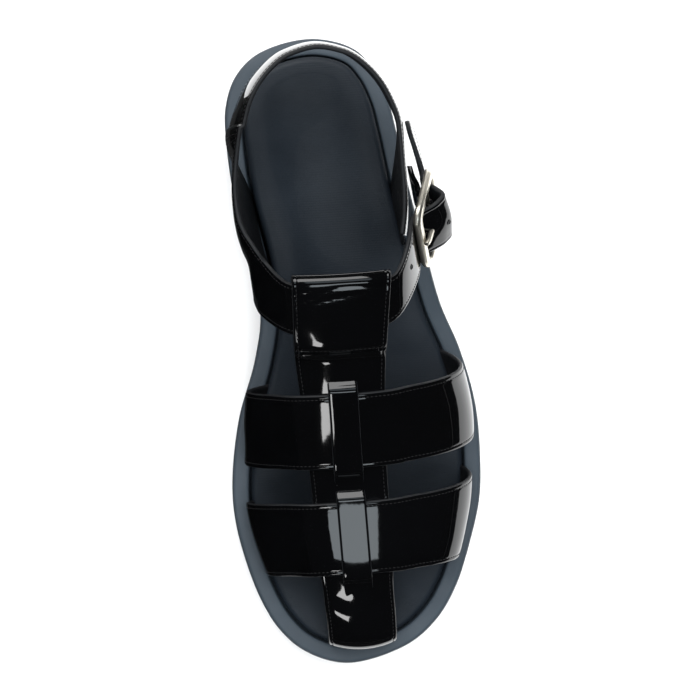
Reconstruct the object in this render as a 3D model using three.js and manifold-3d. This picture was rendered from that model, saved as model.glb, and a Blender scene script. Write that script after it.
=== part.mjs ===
// Left sandal: a woven T-strap, two cross straps and a buckled ankle band on a footbed sole.
// Millimetres, +Z up. The floor is Z = 0, the toe points along -Y and the outer side of the foot is +X.
// Tables are written about the shoe's own axis, from the heel's end to the toe's end.
import * as THREE from 'three';
import Module from 'manifold-3d';

const wasm = await Module();
wasm.setup();

// Driving dimensions
const SOLE_LENGTH = 262;
const TOE_END = -SOLE_LENGTH / 2;
const RIM_WIDTH = 7; // flat border of the sole around the footbed
const RIM_AT_BALL = 25; // height of that border over the floor
const RIM_AT_HEEL = 31;
const RIM_TOE_LIFT = 4;
const TOE_SPRING = 8; // the tread leaves the floor by this at the toe's end
const SPRING_START = -78;
const HEEL_BEVEL = 2;
const BEVEL_START = 112;
const ARCH_LIFT = 3; // hollow of the tread under the waist
const ARCH_START = -12;
const ARCH_END = 50;
const RECESS_DEPTH = 7; // the footbed sits this deep in the sole
const GAP = 0.3; // between pieces that meet
const STRAP = 2; // strap wall: two leathers with their edges folded
const GROOVE = 0.9; // between footbed and border, where no strap goes down
const STRAP_TUCK = RECESS_DEPTH - GAP; // length of a strap below the border
const LOOP_WIDTH = 12; // narrow strip of the T-strap over each cross strap
const LOOP_WALL = 1.6;

// Outline of the sole: distance of each edge from the axis
const outlineRows = [
  { y: 126, inner: 22.0, outer: 17.8 },
  { y: 117, inner: 32.0, outer: 25.8 },
  { y: 105, inner: 36.8, outer: 30.9 },
  { y: 92, inner: 37.6, outer: 33.6 },
  { y: 66, inner: 35.6, outer: 37.8 },
  { y: 40, inner: 30.4, outer: 43.2 },
  { y: 17, inner: 27.6, outer: 48.4 },
  { y: -2, inner: 31.1, outer: 55.4 },
  { y: -26, inner: 39.2, outer: 60.8 },
  { y: -50, inner: 43.4, outer: 61.4 },
  { y: -66, inner: 43.6, outer: 60.0 },
  { y: -83, inner: 40.7, outer: 55.2 },
  { y: -102, inner: 34.8, outer: 47.7 },
  { y: -115, inner: 27.8, outer: 38.8 },
  { y: -125, inner: 17.4, outer: 25.6 },
];

// Ridge of the last from the toe to the instep, and how far each side swells past the groove under it
const lastRows = [
  { x: 6.3, y: -121.7, z: 29.0, innerSwell: 0.0, outerSwell: 0.0 },
  { x: 6.2, y: -122.4, z: 38.0, innerSwell: 0.2, outerSwell: 1.0 },
  { x: 6.1, y: -120.2, z: 44.6, innerSwell: 0.4, outerSwell: 1.6 },
  { x: 5.8, y: -112.0, z: 49.8, innerSwell: 0.6, outerSwell: 2.4 },
  { x: 5.0, y: -98.0, z: 54.8, innerSwell: 0.8, outerSwell: 3.0 },
  { x: 4.4, y: -85.0, z: 58.2, innerSwell: 1.2, outerSwell: 3.2 },
  { x: 3.9, y: -70.0, z: 61.0, innerSwell: 1.8, outerSwell: 2.6 },
  { x: 3.4, y: -55.0, z: 64.5, innerSwell: 2.4, outerSwell: 2.4 },
  { x: 2.8, y: -40.0, z: 69.5, innerSwell: 3.2, outerSwell: 3.4 },
  { x: 2.4, y: -25.0, z: 75.5, innerSwell: 6.0, outerSwell: 4.2 },
  { x: 2.0, y: -10.0, z: 82.0, innerSwell: 9.2, outerSwell: 4.6 },
  { x: 2.0, y: 5.0, z: 88.0, innerSwell: 10.5, outerSwell: 4.8 },
  { x: 2.8, y: 20.0, z: 93.0, innerSwell: 11.0, outerSwell: 5.0 },
  { x: 3.7, y: 36.0, z: 97.5, innerSwell: 11.0, outerSwell: 5.0 },
  { x: 4.2, y: 52.0, z: 101.0, innerSwell: 11.0, outerSwell: 5.0 },
];
const TOE_BEND = 34; // radius of the T-strap's end in plan, at the toe
const TOE_BEND_END = -97;

// Edges of the cross straps: their place along the foot at the inner groove, the ridge and the outer groove
const crossStraps = [
  {
    name: 'front',
    toeEdge: { inner: -91.5, ridge: -90.5, outer: -87.0 },
    heelEdge: { inner: -60.5, ridge: -60.5, outer: -51.0 },
  },
  {
    name: 'middle',
    toeEdge: { inner: -44.0, ridge: -46.5, outer: -33.5 },
    heelEdge: { inner: -12.5, ridge: -16.0, outer: -2.0 },
  },
];

// T-strap: half its width at places along the foot
const tWidths = [
  { y: -122, half: 14.1 },
  { y: -100, half: 14.4 },
  { y: -85, half: 15.2 },
  { y: -50, half: 15.7 },
  { y: -20, half: 16.9 },
  { y: 0, half: 18.2 },
  { y: 29, half: 19.5 },
];
const TAB_STITCH = -2; // the tab is sewn to itself here
const TAB_FOLD = 27.5; // and folds over the ankle band here
const TAB_LIFT = 2.5; // in strap walls, from the last to the middle of its wall over the band
const BAND_LIFT = 1.6; // and to the middle of the ankle band's wall
const TAB_FLATTER = 2.4; // the folded tab lies this much flatter across than the last
const TAB_FLAT_START = -6;
const TAB_FLAT_END = 14;

// Ankle band, outer leg: its top edge and the place along the sole where its foot goes down
const outerLegRows = [
  { topX: 29.4, topY: 44.5, topZ: 81.5, lowY: 42, belly: 1.0 },
  { topX: 31.0, topY: 55.0, topZ: 81.0, lowY: 51, belly: 1.5 },
  { topX: 31.4, topY: 65.0, topZ: 81.0, lowY: 61, belly: 2.0 },
];
// Ankle band, heel: two arches in plan, one for each edge
const heelTop = { x: -0.3, y: 80, across: 31.5, back: 40.2, sideZ: 81.5, backZ: 86 };
const heelLow = { x: -1.4, y: 80, across: 35.2, back: 45.0, sideZ: 50, backZ: 56 };
const HEEL_STEPS = 8;
const HEEL_BELLY = 1;
// Ankle band, inner leg
const innerLegRows = [
  { topX: -33.6, topY: 75.0, topZ: 81.0, lowY: 66, belly: 2.4 },
  { topX: -34.4, topY: 66.0, topZ: 81.0, lowY: 54, belly: 3.0 },
  { topX: -34.0, topY: 57.0, topZ: 81.8, lowY: 42, belly: 3.6 },
  { topX: -32.2, topY: 49.0, topZ: 83.4, lowY: 31, belly: 4.2 },
];
// Ankle band, front edge of the inner leg, from the groove up to the instep
const innerEdgeRows = [
  { topX: -30.2, topY: 44.5, topZ: 84.6, lowX: -25.0, lowY: 26.0, lowZ: 38, belly: 3.0 },
  { topX: -27.8, topY: 40.5, topZ: 85.2, lowX: -29.6, lowY: 22.0, lowZ: 55, belly: 1.5 },
];
const INNER_LAP = 1.2; // the inner leg is sewn over the heel piece and stands this proud of it
// Ankle band, instep: the two edges' places over the last, and how far it rises off the last there
const instepRows = [
  { topX: -25.3, topY: 37.0, lowX: -28.6, lowY: 17.5, rise: 0.6 },
  { topX: -15.8, topY: 27.5, lowX: -16.7, lowY: 7.6, rise: 3.0 },
  { topX: 3.6, topY: 25.5, lowX: 3.0, lowY: 4.5, rise: 0 },
  { topX: 23.6, topY: 28.5, lowX: 23.2, lowY: 10.5, rise: 3.4 },
];

// Buckle: the frame's top front corner, its two edges, and its bars
const FRAME_CORNER = new THREE.Vector3(35.9, 51.4, 87.5);
const FRAME_ALONG = new THREE.Vector3(8.0, 21.3, -19.5).normalize(); // towards the strap's end
const FRAME_DOWN = new THREE.Vector3(5.1, -20.4, -22).normalize();
const FRAME_LENGTH = 31;
const FRAME_WIDTH = 31.5;
const FRAME_BAR = 2.8; // width of the frame's bars
const FRAME_THICK = 2.2;
const FRAME_ROUND = 5; // radius of a corner, to the middle of the bar
const FRAME_BOW = 1.4; // the frame's ends bend in by this
const PIVOT_RADIUS = 1.1;
const PRONG_WIDTH = 2.4;
const PRONG_THICK = 1.8;
const PRONG_CHAMFER = 0.4;
const PRONG_EYE_WALL = 1.3;
const STRAP_END_WIDTH = 23;
const CHAPE_WIDTH = 17;
const CHAPE_WALL = 1.2;
const CHAPE_SEAT = new THREE.Vector3(36.0, 75, 56); // where the chape is sewn to the heel piece
const TAIL_END = new THREE.Vector3(37.0, 91, 56);
const TAIL_DOWN = new THREE.Vector3(0.25, -0.25, -1).normalize(); // across the strap there
const TAIL_DROP = 0.6; // more room under the frame's rear bar
const ARCH_OVER_PIVOT = 2.4; // the strap's arch over the chape and the prong's eye

// Sampling
const RING_POINTS = 84;
const CORE_INSET = 26; // the innermost ring of the sole and footbed
const CROSS_STEPS = 24;
const STRIPS = 4;

// Curves

const clamp = (t) => Math.min(1, Math.max(0, t));
const mix = (a, b, t) => a + (b - a) * t;
const ease = (t) => clamp(t) ** 2 * (3 - 2 * clamp(t));
const vec = (x, y, z) => new THREE.Vector3(x, y, z);
const along = (from, direction, length) => from.clone().addScaledVector(direction, length);

// A smooth curve through one column of a table, with no overshoot between rows.
// Rows are met at their number, or at the value in the column that key names.
function columnCurve(rows, name, key) {
  const xs = rows.map((row, i) => (key ? row[key] : i));
  const ys = rows.map((row) => row[name]);
  const rise = ys.slice(1).map((y, i) => (y - ys[i]) / (xs[i + 1] - xs[i]));
  const slope = ys.map((_, i) => {
    const before = rise[i - 1] ?? rise[i];
    const after = rise[i] ?? rise[i - 1];
    return before * after > 0 ? (2 * before * after) / (before + after) : 0;
  });
  const end = xs.length - 1;
  return (x) => {
    if (x <= xs[0]) return ys[0] + slope[0] * (x - xs[0]);
    if (x >= xs[end]) return ys[end] + slope[end] * (x - xs[end]);
    const i = xs.findIndex((value) => value > x) - 1;
    const step = xs[i + 1] - xs[i];
    const t = (x - xs[i]) / step;
    return (
      ys[i] * (1 + 2 * t) * (1 - t) ** 2 +
      ys[i + 1] * t * t * (3 - 2 * t) +
      step * (slope[i] * t * (1 - t) ** 2 - slope[i + 1] * t * t * (1 - t))
    );
  };
}

// Solids

function solid(positions, triangles) {
  const vertProperties = new Float32Array(positions);
  const make = (list) =>
    new wasm.Manifold(new wasm.Mesh({ numProp: 3, vertProperties, triVerts: new Uint32Array(list) }));
  const made = make(triangles);
  return made.volume() > 0 ? made : make(triangles.reverse());
}

// A solid through rings of points. An open loft is capped by joining each point of an end ring
// to the one that faces it, so a ring runs out along one side and back along the other.
function loft(rings, closed = false) {
  const count = rings[0].length;
  const positions = rings.flat().flatMap((p) => [p.x, p.y, p.z]);
  const triangles = [];
  const quad = (a, b, c, d) => triangles.push(a, b, c, a, c, d);
  const spans = closed ? rings.length : rings.length - 1;
  for (let r = 0; r < spans; r++) {
    const here = r * count;
    const next = ((r + 1) % rings.length) * count;
    for (let i = 0; i < count; i++) {
      const j = (i + 1) % count;
      quad(here + i, here + j, next + j, next + i);
    }
  }
  if (!closed) {
    const end = (rings.length - 1) * count;
    for (let i = 0; i < count / 2 - 1; i++) {
      quad(i, count - 1 - i, count - 2 - i, i + 1);
      quad(end + i, end + i + 1, end + count - 2 - i, end + count - 1 - i);
    }
  }
  return solid(positions, triangles);
}

// A strap of one thickness. point(run, across) is the middle of its wall, both counted from 0 to 1,
// and run x across points away from the foot. grow makes it larger on every side.
function strap(point, steps, thickness, grow = 0) {
  const small = 1e-3;
  const length = (a, b) => point(...a).distanceTo(point(...b));
  const runReach = grow / (length([0, 0.5], [small, 0.5]) / small);
  const places = (count, reach) => {
    const even = Array.from({ length: count + 1 }, (_, i) => i / count);
    return grow ? [-reach, ...even, 1 + reach] : even;
  };
  const rings = [];
  for (const run of places(steps, runReach)) {
    const outside = [];
    const inside = [];
    for (const across of places(STRIPS, grow / length([run, 0], [run, 1]))) {
      const place = point(run, across);
      const onward = point(run + small, across).sub(point(run - small, across));
      const sideways = point(run, across + small).sub(point(run, across - small));
      const out = onward.cross(sideways).normalize();
      outside.push(along(place, out, thickness / 2 + grow));
      inside.push(along(place, out, -thickness / 2 - grow));
    }
    rings.push([...outside, ...inside.reverse()]);
  }
  return loft(rings);
}

// The main body of a cut solid, without crumbs
function mainBody(made) {
  return made.decompose().reduce((a, b) => (a.volume() > b.volume() ? a : b));
}

function geometryOf(made) {
  const mesh = made.getMesh();
  return new THREE.BufferGeometry()
    .setAttribute('position', new THREE.BufferAttribute(new Float32Array(mesh.vertProperties), 3))
    .setIndex(new THREE.BufferAttribute(new Uint32Array(mesh.triVerts), 1));
}

// Sole and footbed outlines

const outlineCurve = new THREE.CatmullRomCurve3(
  [
    vec(0, SOLE_LENGTH / 2, 0),
    ...outlineRows.map((row) => vec(row.outer, row.y, 0)),
    vec(0, TOE_END, 0),
    ...outlineRows.toReversed().map((row) => vec(-row.inner, row.y, 0)),
  ],
  true,
  'centripetal',
);
// Points start just past the heel's end and run down the outer side, so that each faces its mirror
const outline = Array.from({ length: RING_POINTS }, (_, i) =>
  outlineCurve.getPointAt((i + 0.5) / RING_POINTS),
);
const inward = outline.map((_, i) => {
  const before = outline[(i + RING_POINTS - 1) % RING_POINTS];
  const after = outline[(i + 1) % RING_POINTS];
  return vec(after.y - before.y, before.x - after.x, 0).normalize();
});

const rimHeight = columnCurve(
  [
    { y: TOE_END, z: RIM_AT_BALL + RIM_TOE_LIFT },
    { y: -75, z: RIM_AT_BALL },
    { y: -15, z: RIM_AT_BALL },
    { y: 70, z: RIM_AT_HEEL },
    { y: -TOE_END, z: RIM_AT_HEEL },
  ],
  'z',
  'y',
);
function treadHeight(y) {
  const spring = TOE_SPRING * clamp((y - SPRING_START) / (TOE_END - SPRING_START)) ** 2;
  const bevel = HEEL_BEVEL * clamp((y - BEVEL_START) / (-TOE_END - BEVEL_START)) ** 2;
  const arch = ARCH_LIFT * Math.sin(Math.PI * clamp((y - ARCH_START) / (ARCH_END - ARCH_START))) ** 2;
  return spring + bevel + arch;
}

// The outline moved in by inset, at the height that height(y, side) gives
function ring(inset, height) {
  return outline.map((p, i) => {
    const moved = along(p, inward[i], inset);
    const side = i < RING_POINTS / 2 ? 1 : -1;
    return moved.setZ(height(moved.y, side));
  });
}

// x where a ring crosses y on one side
function ringX(points, y, side) {
  const half = points.length / 2;
  const run = side > 0 ? points.slice(0, half) : points.slice(half).reverse();
  const i = Math.max(1, run.findIndex((p) => p.y < y));
  return mix(run[i - 1].x, run[i].x, (run[i - 1].y - y) / (run[i - 1].y - run[i].y));
}

// Sole: tread, side wall with rounded edges, border, and the recess for the footbed
const treadRows = [
  { inset: CORE_INSET, lift: 0 },
  { inset: 4, lift: 0 },
  { inset: 1.6, lift: 1.4 },
  { inset: 0.6, lift: 5 },
];
const rimRows = [
  { inset: 0, drop: 4 },
  { inset: 0.3, drop: 1.3 },
  { inset: 1.4, drop: 0 },
  { inset: RIM_WIDTH, drop: 0 },
  { inset: RIM_WIDTH, drop: RECESS_DEPTH },
  { inset: CORE_INSET, drop: RECESS_DEPTH },
];
function makeSole() {
  return loft([
    ...treadRows.map(({ inset, lift }) => ring(inset, (y) => treadHeight(y) + lift)),
    ...rimRows.map(({ inset, drop }) => ring(inset, (y) => rimHeight(y) - drop)),
  ]);
}

// Footbed: a rounded edge, a cup under the heel, a raised arch on the inner side
const bedEdge = columnCurve(
  [
    { y: TOE_END, z: 0.8 },
    { y: -60, z: 1.2 },
    { y: 20, z: 2.5 },
    { y: 90, z: 4.0 },
    { y: -TOE_END, z: 4.0 },
  ],
  'z',
  'y',
);
const bedDip = columnCurve(
  [
    { y: TOE_END, z: 1.0 },
    { y: -70, z: 3.2 },
    { y: -10, z: 2.6 },
    { y: 30, z: 4.0 },
    { y: 88, z: 7.0 },
    { y: -TOE_END, z: 6.0 },
  ],
  'z',
  'y',
);
const BED_ARCH = { rise: 4.5, y: 28, spread: 26, inside: 0.3 };
const BED_SLOPE = { start: RIM_WIDTH + 2, width: 17 }; // from the edge down to the dip
function bedHeight(y, side, inset) {
  const arch = side < 0 ? BED_ARCH.rise * Math.exp(-(((y - BED_ARCH.y) / BED_ARCH.spread) ** 2)) : 0;
  const edge = bedEdge(y) + arch;
  const middle = bedEdge(y) - bedDip(y) + arch * BED_ARCH.inside;
  return rimHeight(y) + mix(edge, middle, ease((inset - BED_SLOPE.start) / BED_SLOPE.width));
}
const bedRows = [
  { inset: RIM_WIDTH + GROOVE, drop: 3 },
  { inset: RIM_WIDTH + GROOVE + 0.5, drop: 1.2 },
  { inset: RIM_WIDTH + GROOVE + 2, drop: 0 },
  { inset: 12.5, drop: 0 },
  { inset: 16.5, drop: 0 },
  { inset: 20.5, drop: 0 },
  { inset: CORE_INSET, drop: 0 },
];
function makeFootbed() {
  const under = (y) => rimHeight(y) - RECESS_DEPTH + GAP;
  return loft([
    ring(CORE_INSET, under),
    ring(RIM_WIDTH + GROOVE, under),
    ...bedRows.map(({ inset, drop }) => ring(inset, (y, side) => bedHeight(y, side, inset) - drop)),
  ]);
}

// Last: the form that the straps are pulled over

const lastFoot = ring(RIM_WIDTH + GAP + STRAP, rimHeight);
const strapFoot = ring(RIM_WIDTH + GAP + STRAP / 2, rimHeight);
const innerSwell = columnCurve(lastRows, 'innerSwell', 'y');
const outerSwell = columnCurve(lastRows, 'outerSwell', 'y');
const ridge = new THREE.CatmullRomCurve3(
  lastRows.map((row) => vec(row.x, row.y, row.z)),
  false,
  'centripetal',
);
const RIDGE_LENGTH = ridge.getLength();
const ridgeSamples = ridge.getSpacedPoints(300).map((p, i) => ({ girth: (i * RIDGE_LENGTH) / 300, p }));
function girthAt(y) {
  const past = ridgeSamples.findIndex((sample) => sample.p.y > y);
  const i = past < 0 ? ridgeSamples.length - 1 : Math.max(1, past);
  const [a, b] = [ridgeSamples[i - 1], ridgeSamples[i]];
  return mix(a.girth, b.girth, (y - a.p.y) / (b.p.y - a.p.y));
}
function ridgeAt(girth) {
  const inside = clamp(girth / RIDGE_LENGTH);
  const place = ridge.getPointAt(inside);
  const tangent = ridge.getTangentAt(inside);
  return along(place, tangent, girth - inside * RIDGE_LENGTH);
}

// One side of the last's section at y: an elliptic arch, widest some way above the groove
function lastSide(y, side) {
  const top = ridgeAt(girthAt(y));
  const half = Math.abs(ringX(lastFoot, y, side) - top.x);
  const reach = half + (side < 0 ? innerSwell(y) : outerSwell(y));
  const dip = Math.acos(half / reach);
  const height = top.z - rimHeight(y);
  const belt = (height * Math.sin(dip)) / (1 + Math.sin(dip));
  return { top, reach, dip, belt: rimHeight(y) + belt, rise: height - belt };
}
// turn runs from -1 at the inner groove through 0 at the ridge to 1 at the outer groove
function lastPoint(y, turn) {
  const side = turn < 0 ? -1 : 1;
  const { top, reach, dip, belt, rise } = lastSide(y, side);
  const angle = mix(Math.PI / 2, -dip, Math.abs(turn));
  return vec(top.x + side * reach * Math.cos(angle), y, belt + rise * Math.sin(angle));
}
function lastNormal(y, turn) {
  const small = 1e-3;
  const across = lastPoint(y, turn + small).sub(lastPoint(y, turn - small));
  const onward = lastPoint(y + small, turn).sub(lastPoint(y - small, turn));
  return across.cross(onward).normalize();
}
function lastHeight(x, y) {
  const { top, reach, belt, rise } = lastSide(y, Math.sign(x - ridgeAt(girthAt(y)).x) || 1);
  return belt + rise * Math.sqrt(1 - clamp(Math.abs(x - top.x) / reach) ** 2);
}

// Vamp straps

const tHalf = columnCurve(tWidths, 'half', 'y');

// A cross strap lies on the last at its ends and rides over the T-strap in the middle
const TUCK_SHARE = 0.06; // of its run, down each groove
const WEAVE_SLOPE = 6; // a cross strap comes down to the last over this length beside the T-strap
const WEAVE_GAP = 1; // it is still at its full height this far past the T-strap's edge
const WEAVE_LIFT = 1.25; // in strap walls, from the last to the middle of its wall over the T-strap
function crossPoint(cross) {
  return (run, across) => {
    const share = (run - TUCK_SHARE) / (1 - 2 * TUCK_SHARE);
    const turn = mix(-1, 1, clamp(share));
    const bend = (edge) =>
      mix(edge.ridge, turn < 0 ? edge.inner : edge.outer, turn * turn);
    const y = mix(bend(cross.toeEdge), bend(cross.heelEdge), across);
    const place = lastPoint(y, turn);
    const beside = Math.abs(place.x - ridgeAt(girthAt(y)).x) - tHalf(y) - WEAVE_GAP;
    const lift = STRAP * mix(0.5, WEAVE_LIFT, ease(1 - beside / WEAVE_SLOPE));
    place.addScaledVector(lastNormal(y, Math.max(-0.999, Math.min(0.999, turn))), lift);
    const below = Math.max(-share, share - 1, 0) * (1 - 2 * TUCK_SHARE);
    return place.setZ(place.z - (below / TUCK_SHARE) * STRAP_TUCK);
  };
}

// A strip along the ridge: girth along the ridge, offset to the side, lift off the last
function ridgeStrip(girth, offset, lift) {
  const small = 0.01;
  const place = ridgeAt(girth);
  const tangent = ridgeAt(girth + small).sub(ridgeAt(girth - small)).setX(0).normalize();
  const out = vec(0, -tangent.z, tangent.y);
  let bend = TOE_BEND;
  if (place.y > TOE_BEND_END) {
    const { reach, rise } = lastSide(place.y, offset < 0 ? -1 : 1);
    const flat = ease((place.y - TAB_FLAT_START) / (TAB_FLAT_END - TAB_FLAT_START));
    bend = (reach ** 2 / rise) * mix(1, TAB_FLATTER, flat);
  }
  const tilt = Math.min(0.95, Math.max(-0.95, offset / (bend + lift)));
  const level = Math.sqrt(1 - tilt * tilt);
  return place.add(vec(offset, 0, 0)).addScaledVector(out, (bend + lift) * level - bend);
}

// T-strap: up from the toe's groove, over the ankle band, round its edge and back under it
function makeTStrap() {
  const over = TAB_LIFT * STRAP;
  const under = 0.5 * STRAP;
  const fold = girthAt(TAB_FOLD);
  const stitch = girthAt(TAB_STITCH);
  const rows = [
    { girth: -STRAP_TUCK, lift: under },
    { girth: -STRAP_TUCK / 2, lift: under },
  ];
  for (let girth = 0; girth < stitch - 4; girth += 6) rows.push({ girth, lift: under });
  rows.push({ girth: stitch - 2, lift: under });
  rows.push({ girth: stitch + 2, lift: mix(under, over, 0.35) });
  rows.push({ girth: stitch + 6, lift: over });
  for (let girth = stitch + 11; girth < fold - 2; girth += 5) rows.push({ girth, lift: over });
  for (let turn = 0; turn <= 6; turn++) {
    const angle = (Math.PI * turn) / 6;
    const middle = (over + under) / 2;
    const radius = (over - under) / 2;
    rows.push({ girth: fold + radius * Math.sin(angle), lift: middle + radius * Math.cos(angle) });
  }
  for (let girth = fold - 5; girth > stitch; girth -= 5) rows.push({ girth, lift: under });
  const girthOf = columnCurve(rows, 'girth');
  const liftOf = columnCurve(rows, 'lift');
  const point = (across, run) => {
    const girth = girthOf(run * (rows.length - 1));
    const half = tHalf(ridgeAt(girth).y);
    return ridgeStrip(girth, mix(-half, half, across), liftOf(run * (rows.length - 1)));
  };
  // run and across change places, so that their cross product still points away from the foot
  return (grow) => strap((run, across) => point(1 - across, run), rows.length - 1, STRAP, grow);
}

// Narrow strip of the T-strap that passes over one cross strap
function makeLoop(cross) {
  const rows = [
    { y: cross.toeEdge.ridge - 9, lift: 0.45 },
    { y: cross.toeEdge.ridge - 4, lift: 0.9 },
    { y: cross.toeEdge.ridge, lift: 1.85 },
    { y: cross.toeEdge.ridge + 4, lift: 1.95 },
    { y: cross.heelEdge.ridge - 3, lift: 1.95 },
    { y: cross.heelEdge.ridge + 1, lift: 1.95 },
    { y: cross.heelEdge.ridge + 3, lift: 1.3 },
    { y: cross.heelEdge.ridge + 4.5, lift: 0.45 },
  ];
  const yOf = columnCurve(rows, 'y');
  const liftOf = columnCurve(rows, 'lift');
  return strap(
    (run, across) => {
      const row = run * (rows.length - 1);
      const offset = mix(LOOP_WIDTH / 2, -LOOP_WIDTH / 2, across);
      return ridgeStrip(girthAt(yOf(row)), offset, liftOf(row) * STRAP);
    },
    2 * (rows.length - 1),
    LOOP_WALL,
  );
}

// Buckle

const frameOut = FRAME_DOWN.clone().cross(FRAME_ALONG).normalize();
const frameAcross = FRAME_ALONG.clone().cross(frameOut).normalize(); // down the strap's width
// A place in the buckle: length from the front bar, width from its middle, height off its plane
function framePlace(length, width, height) {
  const middle = along(FRAME_CORNER, frameAcross, FRAME_WIDTH / 2);
  return along(along(along(middle, FRAME_ALONG, length), frameAcross, width), frameOut, height);
}
const pivotLength = FRAME_LENGTH / 2;
// The strap's height as it passes under the frame's bars and over the pivot bar
const underBar = -(FRAME_THICK + STRAP) / 2 - GAP - FRAME_BOW;
const overPivot = PIVOT_RADIUS + GAP + CHAPE_WALL + STRAP / 2 + ARCH_OVER_PIVOT;

// A rod of round section along a line in the buckle
function rod(from, to, radius, sides = 10) {
  const run = to.clone().sub(from).normalize();
  const one = vec(run.y, -run.x, 0).normalize();
  const two = run.clone().cross(one);
  const circle = (centre) =>
    Array.from({ length: sides }, (_, i) => {
      const angle = (2 * Math.PI * (i + 0.5)) / sides;
      return along(along(centre, one, radius * Math.cos(angle)), two, radius * Math.sin(angle));
    });
  return loft([circle(from), circle(to)]);
}

// Frame: one bar round a rounded rectangle, bowed to the ankle, and the pivot bar across its middle
function makeFrame() {
  const inner = FRAME_BAR / 2 + FRAME_ROUND;
  const corners = [
    [inner, inner - FRAME_WIDTH / 2, -Math.PI],
    [FRAME_LENGTH - inner, inner - FRAME_WIDTH / 2, -Math.PI / 2],
    [FRAME_LENGTH - inner, FRAME_WIDTH / 2 - inner, 0],
    [inner, FRAME_WIDTH / 2 - inner, Math.PI / 2],
  ];
  const bow = (length) => -FRAME_BOW * ((2 * length) / FRAME_LENGTH - 1) ** 2;
  const path = [];
  for (const [length, width, start] of corners) {
    for (let step = 0; step <= 5; step++) {
      const angle = start + (Math.PI / 2) * (step / 5);
      path.push({ length, width, angle });
    }
  }
  const section = [
    [1, 0.4], [0.6, 1], [-0.6, 1], [-1, 0.4], [-1, -0.4], [-0.6, -1], [0.6, -1], [1, -0.4],
  ];
  const rings = path.map(({ length, width, angle }) =>
    section.map(([side, up]) => {
      const radius = FRAME_ROUND + (side * FRAME_BAR) / 2;
      const at = length + radius * Math.cos(angle);
      return framePlace(at, width + radius * Math.sin(angle), bow(at) + (up * FRAME_THICK) / 2);
    }),
  );
  const reach = FRAME_WIDTH / 2 - FRAME_BAR / 2;
  const pivot = rod(
    framePlace(pivotLength, -reach, 0),
    framePlace(pivotLength, reach, 0),
    PIVOT_RADIUS,
  );
  return loft(rings, true).add(pivot);
}

// Prong: an eye round the pivot bar and a tongue whose tip lies on the front bar
const prongRows = [
  { length: pivotLength, height: 1.7, width: 1 },
  { length: pivotLength - 3.5, height: 2.2, width: 1 },
  { length: pivotLength - 8, height: 1.9, width: 0.95 },
  { length: FRAME_BAR, height: 1.6, width: 0.9 },
  { length: 0.2, height: 1.0, width: 0.75 },
];
function makeProng(grow = 0) {
  const rings = prongRows.map(({ length, height, width }) => {
    const w = (PRONG_WIDTH * width) / 2 + grow;
    const h = PRONG_THICK / 2 + grow;
    const chamfer = PRONG_CHAMFER;
    return [
      [-w, -h + chamfer], [-w, h - chamfer], [-w + chamfer, h], [w - chamfer, h],
      [w, h - chamfer], [w, -h + chamfer], [w - chamfer, -h], [-w + chamfer, -h],
    ].map(([x, up]) => framePlace(length, x, height + up));
  });
  const eyeEnd = (reach) => framePlace(pivotLength, reach * (PRONG_WIDTH / 2 + grow), 0);
  const wall = PIVOT_RADIUS + GAP + PRONG_EYE_WALL + grow;
  const tongue = loft(rings).add(rod(eyeEnd(-1), eyeEnd(1), wall, 12));
  if (grow) return tongue;
  return tongue.subtract(rod(eyeEnd(-2), eyeEnd(2), PIVOT_RADIUS + GAP, 12));
}

// Chape: a leather folded round the pivot bar and sewn flat to the heel piece
function makeChape() {
  const eye = PIVOT_RADIUS + GAP;
  const wall = eye + CHAPE_WALL;
  const seat = CHAPE_SEAT.clone().sub(framePlace(pivotLength, 0, 0));
  const seatRun = seat.dot(FRAME_ALONG);
  const seatRise = seat.dot(frameOut);
  const rearRun = pivotLength - FRAME_BAR - 1.4;
  const rearRise = underBar - STRAP / 2 - CHAPE_WALL - 2 * GAP;
  const rows = [
    { run: -wall, rise: 0.0, half: 0.3 },
    { run: -wall * 0.7, rise: 0.0, half: wall * 0.7 },
    { run: 0, rise: -0.1, half: wall },
    { run: 2.4, rise: -0.9, half: wall * 0.85 },
    { run: rearRun * 0.55, rise: -4.6, half: CHAPE_WALL * 1.1 },
    { run: rearRun, rise: rearRise, half: CHAPE_WALL },
    { run: mix(rearRun, seatRun, 0.5), rise: mix(rearRise, seatRise, 0.6), half: CHAPE_WALL },
    { run: seatRun, rise: seatRise, half: CHAPE_WALL * 0.9 },
  ];
  const outerSide = rows.map((row) => [row.run, row.rise + row.half]);
  const innerSide = rows.map((row) => [row.run, row.rise - row.half]).reverse();
  const section = (width) =>
    [...outerSide, ...innerSide].map(([run, rise]) => framePlace(pivotLength + run, width, rise));
  const body = loft([section(-CHAPE_WIDTH / 2), section(CHAPE_WIDTH / 2)]);
  const bar = (half, radius) =>
    rod(framePlace(pivotLength, -half, 0), framePlace(pivotLength, half, 0), radius, 16);
  const prongSlot = PRONG_WIDTH / 2 + GAP;
  return body.subtract(bar(CHAPE_WIDTH, eye)).subtract(bar(prongSlot, wall + 1.5));
}

// Ankle band: outer leg, heel, inner leg, over the instep, through the buckle to its free end

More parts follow.
